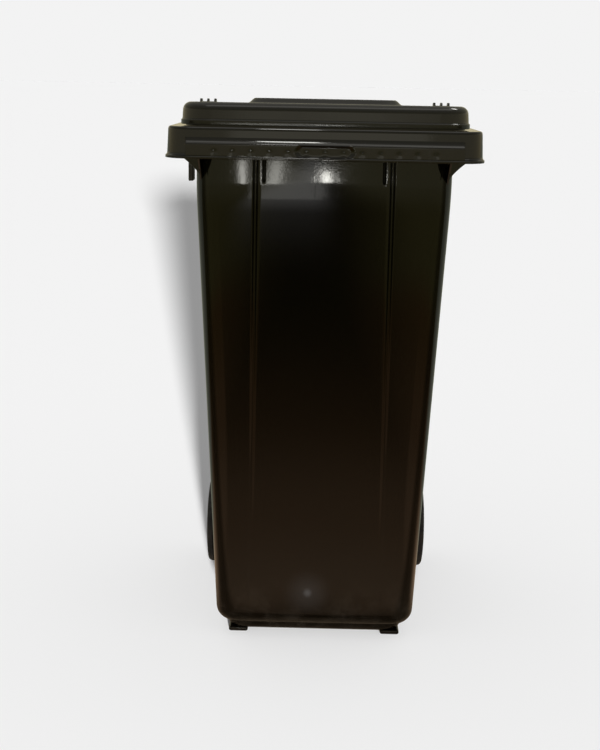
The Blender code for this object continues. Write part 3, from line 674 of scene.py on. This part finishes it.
def make_comb_ribs():
    """Short ribs under the front flange, between the tub's wall and the collar."""
    top = RIM_Z - 0.002
    outline = [(-0.3165, top), (-0.3520, top), (-0.3520, 1.0220), (-0.3165, 1.0100)]
    for i in range(-6, 7):
        x = i * COMB_RIB_PITCH
        tub_piece(prism(f"comb_rib_{i + 7:02d}", outline, "X", x - 0.0015, x + 0.0015, 0.0006))


def make_side_ribs():
    top = RIM_Z - 0.002
    for label, side in SIDES:
        outline = [(side * x, z) for x, z in ((0.2345, top), (0.2825, top), (0.2825, 1.020), (0.2345, 1.004))]
        for i, y in enumerate((-0.220, -0.075, 0.075, 0.220)):
            tub_piece(prism(f"side_rib_{label}_{i + 1}", outline, "Y", y - 0.0015, y + 0.0015, 0.0006))


def make_gussets():
    """Cheek plates and concave corner plates that brace the collar's front corners."""
    top = RIM_Z - 0.003
    cheek = soften([(-0.300, 0.9480), (-0.354, 0.9935), (-0.354, top), (-0.300, top)], 0.003)
    sweep = []
    for i in range(9):
        t = i / 8
        sweep.append((0.2260 + 0.0326 * t, 0.9580 + 0.0345 * t ** 0.72))
    corner = sweep + [(0.2825, 1.0000), (0.2825, top), (0.2260, top)]
    for label, side in SIDES:
        tub_piece(prism(f"gusset_cheek_{label}", cheek, "X", side * 0.2245, side * 0.2280))
        outline = [(side * x, z) for x, z in corner]
        tub_piece(prism(f"gusset_corner_{label}", outline, "Y", -0.3255, -0.3220))


def tongue(y, z, radius, root, steps=28):
    """A (y, z) outline: a round end about y, z joined to two root points."""
    first, last = root
    start, sweep = math.radians(100), math.radians(-220)
    arc = [(y + radius * math.cos(start + sweep * i / steps), z + radius * math.sin(start + sweep * i / steps))
           for i in range(steps + 1)]
    return [first] + arc + [last]


def make_hinge_mounts():
    """Hinge blocks behind the rim, each with two lugs."""
    outline = tongue(HINGE_Y, HINGE_Z, FIN_R, ((0.286, 1.046), (0.290, 1.006)))
    for label, side in SIDES:
        low = min(side * 0.2480, side * 0.2890)
        tub_piece(block(f"hinge_block_{label}", (low, 0.240, 1.0010), (low + 0.0410, 0.3000, 1.0470), 0.0030))
        for place, (x0, x1) in (("inner", LUG_IN), ("outer", LUG_OUT)):
            lug = prism(f"hinge_lug_{place}_{label}", outline, "X", side * x0, side * x1, 0.0010)
            tub_piece(cut(lug, [pin_bore(side)]))


def make_handle():
    """Ribbed grip bar across the back, on two arms and a middle web."""
    profile = [(0.0, -BAR_HALF), (BAR_R - 0.0018, -BAR_HALF), (BAR_R, -BAR_HALF + 0.0018)]
    groove_depth, half_step = 0.0006, 0.0007
    for start, end in ((-0.190, -0.070), (0.070, 0.190)):
        for i, x in enumerate(np.linspace(start, end, 25)):
            radius = BAR_R - (groove_depth if i % 2 else 0.0)
            profile += [(radius, x - half_step), (radius, x + half_step)]
    profile += [(BAR_R, BAR_HALF - 0.0018), (BAR_R - 0.0018, BAR_HALF), (0.0, BAR_HALF)]
    tub_piece(turned("grip_bar", profile, BAR_Y, BAR_Z, ROUND, closed=False))
    arm = [(0.270, 1.0000), (0.300, 1.0180), (0.318, 1.0400), (BAR_Y, 1.0420), (BAR_Y, 1.0660),
           (0.322, 1.0590), (0.2915, 1.0465), (0.270, 1.0465)]
    web = [(0.270, 1.0060), (0.300, 1.0300), (0.318, 1.0430), (BAR_Y, 1.0450), (BAR_Y, 1.0630),
           (0.322, 1.0570), (0.2915, 1.0455), (0.270, 1.0455)]
    tub_piece(prism("handle_web", soften(web, 0.006), "X", -0.010, 0.010, 0.0012))
    for label, side in SIDES:
        tub_piece(prism(f"handle_arm_{label}", soften(arm, 0.006), "X", side * ARM_X[0], side * ARM_X[1], 0.0015))


def make_axle_lugs():
    outline = tongue(AXLE_Y, AXLE_Z, AXLE_LUG_R, ((0.190, 0.190), (0.145, 0.046)))
    for label, side in SIDES:
        for place, (x0, x1) in zip(("outer", "inner"), AXLE_LUGS):
            tub_piece(prism(f"axle_lug_{place}_{label}", outline, "X", side * x0, side * x1, 0.0012))


def make_feet():
    for label, side in SIDES:
        low = min(side * FOOT_X[0], side * FOOT_X[1])
        foot = block(f"foot_{label}", (low, FOOT_Y[0], 0.0), (low + FOOT_X[1] - FOOT_X[0], FOOT_Y[1], 0.010), 0.0045, 5)
        tub_piece(foot)


def make_rim_clip():
    """Small holder that hangs in the collar under the rim's left side."""
    lo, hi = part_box("rim_clip")
    clip = block("rim_clip_shape", lo, hi, 0.0022)
    cut(clip, [block("clip_slot", (-0.2900, -0.0090, 0.9620), (-0.2600, 0.0090, 1.0280), 0.002)])
    finish_piece(clip, "clip_plastic", "tub", "rim_clip")


# ------------------------------ lid
def lid_surface(y):
    """Height of the lid's top at y."""
    return LID_TOP_Z - LID_FALL * (y - LID_FRONT) / (LID_BACK - LID_FRONT)


def lid_ring(out, z, thickness=0.0):
    grow = out - thickness
    half = rounded_half(LID_HALF_W + grow, LID_FRONT - grow, LID_BACK + grow,
                        max(LID_CORNER + grow, 0.010), max(LID_BACK_CORNER + grow, 0.010))
    share = max(0.0, (z - LID_BEAD_Z) / (LID_TOP_Z - LID_BEAD_Z))
    sloped = 1.0 if share > 0 else 0.0
    return [(x, y, px - thickness * sloped - share * (LID_TOP_Z - lid_surface(y)))
            for x, y, px in level_ring(half, z)]


def lid_side():
    """(offset, height) steps from the lid's bottom edge up its side and over its rounded edge."""
    bead = [(LID_BEAD_OUT - 0.0006, LID_Z), (LID_BEAD_OUT, LID_Z + 0.0006), (LID_BEAD_OUT, LID_BEAD_Z - 0.0022),
            (LID_BEAD_OUT - 0.0002, LID_BEAD_Z - 0.0014), (LID_BEAD_OUT - 0.0008, LID_BEAD_Z - 0.0008),
            (0.0004, LID_BEAD_Z - 0.0004), (0.0, LID_BEAD_Z + 0.0002), (-0.0002, LID_BEAD_Z + 0.0015)]
    start = LID_TOP_Z - LID_TOP_ROUND
    steps = 10
    turn = []
    for i in range(steps + 1):
        angle = math.radians(90 * i / steps)
        turn.append((-0.0012 - LID_TOP_ROUND * (1 - math.cos(angle)), start + LID_TOP_ROUND * math.sin(angle)))
    return bead + turn


def panel_ring(inset, height, thickness=0.0):
    grow = -inset - thickness
    half = rounded_half(PANEL_HALF_W + grow, PANEL_Y[0] - grow, PANEL_Y[1] + grow,
                        PANEL_CORNER + grow, PANEL_CORNER + grow)
    lift = height - thickness
    return [(x, y, lid_surface(y) + lift) for x, y, _ in level_ring(half, 0.0)]


def panel_steps():
    """(inset, height) steps up the S-shaped slope of the raised panel."""
    steps = 12
    width = 0.016
    return [(width * i / steps, PANEL_H * smooth_step(i, 0, steps)) for i in range(steps + 1)]


def make_lid_shell():
    """Beaded skirt, rounded top edge and raised panel in one thin moulding."""
    outer = [lid_ring(out, z) for out, z in lid_side()]
    outer += [panel_ring(inset, height) for inset, height in panel_steps()]
    inner = [lid_ring(out, z, LID_T) for out, z in lid_side()[1:]]
    inner += [panel_ring(inset, height, LID_T) for inset, height in panel_steps()]
    rim = [lid_ring(LID_BEAD_OUT - LID_T + 0.0006, LID_Z)]
    rings = list(reversed(outer)) + rim + inner
    return lid_piece(loft("lid_shell", rings), 50)


def make_lid_ears():
    """Hinge arms at the lid's back corners, each with an eye and a middle fin."""
    corners = ((EYE_X[0], 0.262), (0.2480, 0.240), (0.2480, 0.200), (0.2600, 0.200), (EYE_X[1], 0.285),
               (EYE_X[1], HINGE_Y), (EYE_X[0], HINGE_Y))
    for label, side in SIDES:
        plan = [(side * x, y) for x, y in corners]
        arm = prism(f"lid_ear_{label}", plan, "Z", 1.0655, 1.0768, 0.0015)
        lid_piece(cut(arm, [pin_bore(side)]))
        for kind, outer, (x0, x1), edge in (("eye", EYE_R, EYE_X, 0.0008), ("fin", FIN_R, MID_FIN_X, 0.0010)):
            radii, ends = (PIN_R + GAP, outer), (side * x0, side * x1)
            lid_piece(ring_piece(f"lid_{kind}_{label}", radii, ends, HINGE_Y, HINGE_Z, edge))


def make_lid_ribs():
    """Stiffening ribs under the lid's top."""
    low, into_top = 1.0680, 0.0015
    for label, side in SIDES:
        outline = [(-0.300, low), (0.258, low), (0.258, lid_surface(0.258) - into_top),
                   (-0.300, lid_surface(-0.300) - into_top)]
        lid_piece(prism(f"lid_rib_{label}", outline, "X", side * 0.1850, side * 0.1875, 0.0006))
    for i, y in enumerate((-0.240, -0.160, -0.080)):
        rib = block(f"lid_cross_rib_{i + 1}", (-0.186, y - 0.00125, low),
                    (0.186, y + 0.00125, lid_surface(y) - into_top), 0.0005, 2)
        lid_piece(rib)


# ------------------------------ pins, axle and wheels
def make_hinge_pins():
    """Pins with a round head outside the outer lug."""
    head, head_r, tip, tip_r = 0.2900, 0.0070, 0.2465, 0.0030
    shoulder = LUG_OUT[1] + GAP
    profile = ((0.0, head), (head_r, head), (head_r, shoulder), (PIN_R, shoulder), (PIN_R, tip + 0.0015),
               (tip_r, tip), (0.0, tip))
    for label, side in SIDES:
        half = soften([(radius, side * x) for radius, x in profile], 0.0009, closed=False)
        pin = turned(f"hinge_pin_shape_{label}", half, HINGE_Y, HINGE_Z, 32, closed=False)
        finish_piece(pin, "pin_plastic", "tub", f"hinge_pin_{label}")


def make_axle():
    """Zinc-plated bar with a lock groove near each end."""
    start, end, groove_r = AXLE_HALF - 0.0085, AXLE_HALF - 0.0025, 0.0080
    half = [(0.0, AXLE_HALF), (AXLE_R, AXLE_HALF), (AXLE_R, end), (groove_r, end - 0.0005),
            (groove_r, start + 0.0005), (AXLE_R, start)]
    profile = soften(half + [(radius, -x) for radius, x in reversed(half)], 0.0009, closed=False)
    finish_piece(turned("axle_bar", profile, AXLE_Y, AXLE_Z, 40, closed=False), "axle_steel", "tub", "axle")


def make_tyre(label, side):
    """Solid tyre: rounded shoulders, two tread grooves and shallow sipes."""
    half_w = 0.0225
    wall = ((TYRE_BORE, 0.0030), (0.0800, 0.0022), (0.0835, 0.0008), (0.0862, 0.0), (0.0885, 0.0006),
            (0.0890, 0.0014), (0.0905, 0.0014), (0.0912, 0.0006), (0.0940, 0.0010), (0.0968, 0.0026),
            (0.0985, 0.0048), (0.0996, 0.0080))
    tread = [(WHEEL_R, 0.0105), (WHEEL_R, 0.0092), (0.0984, 0.0086), (0.0984, 0.0064), (WHEEL_R, 0.0058),
             (WHEEL_R, 0.0)]
    section = [(radius, half_w - inset) for radius, inset in wall] + tread
    profile = section + [(radius, -x) for radius, x in reversed(section[:-1])]
    x0 = side * WHEEL_X
    tyre = turned(f"tyre_shape_{label}", [(radius, x0 + x) for radius, x in profile], AXLE_Y, AXLE_Z, 144)
    for vertex in tyre.data.vertices:
        across, y, z = vertex.co.x - x0, vertex.co.y - AXLE_Y, vertex.co.z - AXLE_Z
        radius = math.hypot(y, z)
        turn = round(math.degrees(math.atan2(z, y)) / 2.5) % 4
        if radius > 0.0980 and abs(across) > 0.0095 and turn == 0:
            shrink = (radius - SIPE_DEPTH) / radius
            vertex.co.y, vertex.co.z = AXLE_Y + y * shrink, AXLE_Z + z * shrink
    finish_piece(tyre, "tyre_rubber", f"wheel_{label}", f"tyre_{label}", 50)


def make_wheel_centre(label, side):
    """Rim and hub with a thin web and rounded spokes standing on it."""
    x0 = side * WHEEL_X
    rim = TYRE_BORE - GAP
    profile = [(BUSH_R + GAP, -0.0270), (BUSH_R + GAP, 0.0240), (HUB_R, 0.0240), (HUB_R, 0.0025),
               (0.0690, 0.0025), (0.0710, 0.0200), (rim, 0.0200), (rim, -0.0200), (0.0710, -0.0200),
               (0.0690, -0.0025), (HUB_R, -0.0025), (HUB_R, -0.0270)]
    section = soften([(radius, x0 + side * x) for radius, x in profile], 0.0012)
    centre = turned(f"wheel_centre_shape_{label}", section, AXLE_Y, AXLE_Z, 96)
    low, high = sorted((side * 0.2425, side * 0.270))
    cut(centre, [block("lock_pocket", (low, AXLE_Y - 0.0040, AXLE_Z + 0.005), (high, AXLE_Y + 0.0040, AXLE_Z + 0.0235),
                       0.0004, 1)])
    finish_piece(centre, "hub_plastic", f"wheel_{label}", f"wheel_centre_{label}")
    for i in range(8):
        spoke = block(f"spoke_{label}_{i + 1}", (-0.0110, -0.0025, 0.0240), (0.0110, 0.0025, 0.0700), 0.0012)
        turn = Matrix.Rotation(2 * math.pi * (i + 0.5) / 8, 4, "X")
        spoke.data.transform(Matrix.Translation((x0, AXLE_Y, AXLE_Z)) @ turn)
        finish_piece(spoke, "hub_plastic", f"wheel_{label}", f"wheel_centre_{label}")


def make_wheel_small_parts(label, side):
    """Bush, washer, hub cap and lock plunger."""
    inner = AXLE_R + GAP
    bush_ends = (side * HUB_X[0], side * BUSH_END)
    bush = ring_piece(f"bush_shape_{label}", (inner, BUSH_R), bush_ends, AXLE_Y, AXLE_Z, 0.0005, 40)
    finish_piece(bush, "bush_plastic", f"wheel_{label}", f"wheel_bush_{label}")
    washer_ends = (side * (AXLE_LUGS[0][1] + GAP), side * (HUB_X[0] - GAP))
    washer = ring_piece(f"washer_shape_{label}", (inner, WASHER_R), washer_ends, AXLE_Y, AXLE_Z, 0.0004)
    finish_piece(washer, "washer_steel", "tub", f"axle_washer_{label}")
    inside, skirt = HUB_X[1] + GAP, HUB_X[1] - 0.0065
    face = ((0.0, 0.0012), (0.0085, 0.0011), (0.0098, 0.0002), (0.0120, 0.0), (0.0160, 0.0003), (0.0220, 0.0009),
            (0.0265, 0.0017), (CAP_R - 0.0012, 0.0030), (CAP_R, 0.0048))
    dome = [(radius, CAP_X - drop) for radius, drop in face]
    dome += [(CAP_R, skirt), (HUB_R + GAP, skirt), (HUB_R + GAP, inside), (0.0, inside)]
    profile = [(radius, side * x) for radius, x in dome]
    cap = turned(f"hub_cap_shape_{label}", profile, AXLE_Y, AXLE_Z, 56, closed=False)
    finish_piece(cap, "cap_plastic", f"wheel_{label}", f"hub_cap_{label}")
    lo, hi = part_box(f"lock_plunger_{label}")
    start, end = sorted((side * 0.2452, side * 0.2488))
    tip = block(f"lock_tip_{label}", (start, AXLE_Y - 0.0022, lo.z), (end, AXLE_Y + 0.0022, AXLE_Z + 0.0125),
                0.0004, 2)
    finish_piece(tip, "lock_steel", f"lock_{label}", f"lock_plunger_{label}")
    head = block(f"lock_head_{label}", (lo.x, lo.y, AXLE_Z + 0.0110), hi, 0.0006, 2)
    finish_piece(head, "lock_steel", f"lock_{label}", f"lock_plunger_{label}")


def make_lock_spring(label):
    """Coil between the plunger's head and the top of its pocket."""
    lo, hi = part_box(f"lock_spring_{label}")
    wire, radius, turns, per_turn = 0.0004, 0.0026, 4, 20
    middle_x, middle_y = (lo.x + hi.x) / 2, (lo.y + hi.y) / 2
    count = turns * per_turn + 1
    line = bpy.data.curves.new(f"spring_line_{label}", "CURVE")
    line.dimensions = "3D"
    line.bevel_depth = wire
    line.bevel_resolution = 2
    line.use_fill_caps = True
    path = line.splines.new("POLY")
    path.points.add(count - 1)
    for i in range(count):
        angle = 2 * math.pi * i / per_turn
        path.points[i].co = (middle_x + radius * math.cos(angle), middle_y + radius * math.sin(angle),
                             lo.z + wire + (hi.z - lo.z - 2 * wire) * i / (count - 1), 1.0)
    curve = add_object(f"spring_curve_{label}", line)
    bpy.context.view_layer.update()
    mesh = bpy.data.meshes.new_from_object(curve.evaluated_get(bpy.context.evaluated_depsgraph_get()))
    bpy.data.objects.remove(curve, do_unlink=True)
    bm = bmesh.new()
    bm.from_mesh(mesh)
    bmesh.ops.remove_doubles(bm, verts=bm.verts, dist=0.00002)
    coil = from_bmesh(f"lock_coil_{label}", bm)
    finish_piece(coil, "lock_steel", f"wheel_{label}", f"lock_spring_{label}")
    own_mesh(coil)


# ------------------------------ floor, light and camera
PALE = 0.895                  # how bright the floor and the surround look
FLOOR_WHITE = 0.88
DOME = 0.34                   # soft light from all round
SHADE_ELEVATION = 5.6         # low light, for the floor alone, that lays the soft shadow to the left
SHADE_TURN = 7.4
SHADE_SOFTNESS = 2.6


# Colours that the floor glows with for the bin's gloss alone, a painted reflection of a room; ROOM_WALLS is the world's
# light for the gloss
ROOM_FLOOR = [(0.024, (0.16, 0.12, 0.08)), (0.040, (0.60, 0.40, 0.25)), (0.071, (0.50, 0.31, 0.18)),
              (0.127, (0.31, 0.17, 0.085)), (0.190, (0.22, 0.12, 0.045)), (0.250, (0.24, 0.21, 0.080)),
              (0.600, (0.34, 0.31, 0.16)), (1.0, (0.40, 0.37, 0.21))]
ROOM_FLOOR_REACH = 10.0       # how far out its last stop is
ROOM_WALLS = [(0.0, (0.56, 0.49, 0.30)), (0.10, (0.66, 0.61, 0.44)), (0.25, (0.36, 0.34, 0.24)),
              (0.60, (0.42, 0.41, 0.34)), (1.0, (0.75, 0.73, 0.66))]
PAINTED_DARK_REFLECTION, FLOOR_BEHIND = (0.02, 0.016, 0.008), (0.30, 0.31, 0.24)


def gloss_floor_colour(nodes, x, y):
    """Painted reflection: the colour that the floor glows with for the bin's gloss alone, warm by the bin, dim further
    out, with a dark patch in front.
    """
    ground = nodes.ramp(nodes.maths("DIVIDE", nodes.reach(x, y), ROOM_FLOOR_REACH), ROOM_FLOOR)
    aside = nodes.size_of(nodes.plus(x, 0.03))
    clear = nodes.maths("MAXIMUM", nodes.spread(aside, 0.05, 0.46), nodes.spread(y, -2.3, 0.2))
    sideways = nodes.maths("MAXIMUM", nodes.size_of(x), 0.05)
    slant = nodes.size_of(nodes.plus(nodes.maths("DIVIDE", nodes.plus(y, 0.25), sideways), 0.02))
    beside = nodes.spread(slant, 0.12, 0.55, 0.25)
    shaded = nodes.mix_colour(nodes.times(clear, beside), PAINTED_DARK_REFLECTION, ground)
    return nodes.mix_colour(nodes.spread(y, 0.0, 0.5), shaded, FLOOR_BEHIND)


def gloss_floor_glow(nodes, x, y):
    """Two pale glows painted on the floor for the bin's gloss alone, which give painted highlights: a fading one under
    the far panes, a small one by the bin.
    """
    off_pane = nodes.size_of(nodes.plus(x, 0.15))
    far = nodes.times(nodes.spread(off_pane, 0.26, 0.10), nodes.spread(y, -2.2, -4.4))
    spot = nodes.reach(nodes.plus(x, 0.016), nodes.times(nodes.plus(y, 0.376), 0.6))
    core = nodes.times(nodes.spread(spot, 0.012, 0.002), 1.1)
    halo = nodes.times(nodes.spread(spot, 0.060, 0.0), 0.35)
    return nodes.plus(nodes.times(far, 0.75), nodes.plus(core, halo))


def stage_material():
    """Pale floor for the eye; for the bin's gloss the floor glows instead with a dimmer, warmer room, a painted
    reflection.
    """
    paint = Paint("pale_floor", (FLOOR_WHITE, FLOOR_WHITE, FLOOR_WHITE), 1.0)
    paint.set("Specular IOR Level", 0.0)
    x, y = paint.along("X"), paint.along("Y")
    room = paint.add("ShaderNodeEmission")
    colour, glow = gloss_floor_colour(paint, x, y), gloss_floor_glow(paint, x, y)
    paint.feed(room.inputs["Color"], paint.mix_colour(1.0, colour, glow, "ADD"))
    # glossy rays see the floor's painted glow instead of the lit floor
    shown = paint.by_ray("Is Glossy Ray", paint.shader.outputs[0], room.outputs[0])
    paint.feed(paint.tree.nodes["Material Output"].inputs["Surface"], shown)
    return paint.mat


def point_at(item, heading):
    item.rotation_euler = heading.to_track_quat("-Z", "Y").to_euler()


def make_stage():
    """A very large floor, and the low light that only the floor receives."""
    bm = bmesh.new()
    bmesh.ops.create_grid(bm, x_segments=1, y_segments=1, size=400.0)
    floor = from_bmesh("floor", bm)
    floor.data.materials.append(stage_material())
    elevation, turn = math.radians(SHADE_ELEVATION), math.radians(SHADE_TURN)
    light = bpy.data.lights.new("floor_light", "SUN")
    light.angle = math.radians(SHADE_SOFTNESS)
    light.energy = math.pi * (PALE / FLOOR_WHITE - DOME) / math.sin(elevation)
    item = add_object("floor_light", light)
    flat = math.cos(elevation)
    point_at(item, Vector((-math.sin(turn) * flat, math.cos(turn) * flat, -math.sin(elevation))))
    lit = bpy.data.collections.new("lit_by_floor_light")
    lit.objects.link(floor)
    item.light_linking.receiver_collection = lit


def make_world():
    """Pale surround for the eye, even light on the object, and a room for its gloss."""
    world = bpy.data.worlds.new("studio")
    bpy.context.scene.world = world
    world.use_nodes = True
    nodes = Nodes(world.node_tree, "Generated")
    seen, even = nodes.tree.nodes["Background"], nodes.add("ShaderNodeBackground")
    room = nodes.add("ShaderNodeBackground")
    nodes.feed(seen.inputs["Color"], (PALE, PALE, PALE))
    nodes.feed(even.inputs["Color"], (1.0, 1.0, 1.0))
    nodes.feed(even.inputs["Strength"], DOME)
    nodes.feed(room.inputs["Color"], nodes.ramp(nodes.maths("MAXIMUM", nodes.along("Z")), ROOM_WALLS))
    lit = nodes.by_ray("Is Glossy Ray", even.outputs[0], room.outputs[0])
    shown = nodes.by_ray("Is Camera Ray", lit, seen.outputs[0])
    nodes.feed(nodes.tree.nodes["World Output"].inputs["Surface"], shown)


def add_panel_light(name, place, aim, size, glow, lit, colour):
    """A rectangle that shines evenly on the lit pieces; glow is how bright its face looks."""
    light = bpy.data.lights.new(name, "AREA")
    light.shape = "RECTANGLE"
    light.size, light.size_y = size
    light.energy = glow * math.pi * size[0] * size[1]
    light.color = colour
    item = add_object(name, light)
    item.location = place
    point_at(item, Vector(aim) - Vector(place))
    item.light_linking.receiver_collection = lit


def make_lights(pieces):
    """Window panes far in front, low down, and lamps overhead: they only draw the gloss's highlights."""
    lit, lit_lid, lit_tub = (bpy.data.collections.new(name) for name in ("lit_by_lamps", "lit_lid", "lit_tub"))
    for piece in pieces:
        lit.objects.link(piece)
        (lit_lid if piece.name.startswith("lid_") else lit_tub).objects.link(piece)
    wall_y, window, lamp = -4.3, (1.0, 0.99, 0.92), (1.0, 0.99, 0.94)
    panes = (("pane_left", -0.362, 0.620, (0.045, 0.26), 13.0), ("pane_middle", -0.225, 0.620, (0.050, 0.28), 9.0),
             ("pane_dim", -0.150, 0.300, (0.320, 0.80), 0.9), ("pane_bright", 0.020, 0.640, (0.070, 0.10), 45.0),
             ("pane_streak", -0.005, 0.420, (0.045, 0.60), 3.0))
    for name, x, z, size, glow in panes:
        add_panel_light(name, (x, wall_y, z), (x, 0.0, z), size, glow, lit, window)
    add_panel_light("lamp_small", (-0.11, -1.60, 2.6), (-0.06, -0.35, 1.0), (0.20, 0.40), 24.0, lit_tub, lamp)
    add_panel_light("lamp_side", (1.55, 0.30, 3.1), (0.14, -0.03, 1.09), (0.55, 0.55), 16.0, lit_lid, lamp)
    add_panel_light("lamp_broad", (0.3, -0.9, 3.0), (0.0, 0.0, 0.8), (2.6, 0.8), 1.0, lit, (1.0, 0.98, 0.92))
    add_panel_light("wall_glow", (0.05, wall_y - 0.2, 1.52), (0.0, 0.0, 1.0), (1.0, 0.35), 0.45, lit,
                    (1.0, 0.98, 0.88))


def make_camera():
    """At the height of the lid, a little to the left, looking slightly down."""
    pitch, yaw, roll = (math.radians(angle) for angle in (-13.12, -0.68, 1.09))
    ahead = Vector((math.sin(yaw) * math.cos(pitch), math.cos(yaw) * math.cos(pitch), math.sin(pitch)))
    right = Vector((math.cos(yaw), -math.sin(yaw), 0.0))
    up = right.cross(ahead)
    turned_right = right * math.cos(roll) + up * math.sin(roll)
    turned_up = up * math.cos(roll) - right * math.sin(roll)
    camera = bpy.data.cameras.new("camera")
    camera.lens = 60.24
    camera.sensor_width = 36.0
    item = add_object("camera", camera)
    axes = Matrix((turned_right, turned_up, -ahead)).transposed()
    item.matrix_world = Matrix.Translation((-0.0099, -2.6284, 1.1281)) @ axes.to_4x4()
    bpy.context.scene.camera = item
    bpy.context.scene.view_settings.view_transform = "Standard"


def make_bin():
    for make in (make_tub_shell, make_collar, make_upstand, make_band, make_comb_ribs, make_side_ribs, make_gussets,
                 make_hinge_mounts, make_handle, make_axle_lugs, make_feet, make_rim_clip, make_lid_shell,
                 make_lid_ears, make_lid_ribs, make_hinge_pins, make_axle):
        make()
    for label, side in SIDES:
        make_tyre(label, side)
        make_wheel_centre(label, side)
        make_wheel_small_parts(label, side)
        make_lock_spring(label)


make_bin()
make_lights([item for item in bpy.data.objects if item.type == "MESH"])
make_stage()
make_world()
make_camera()
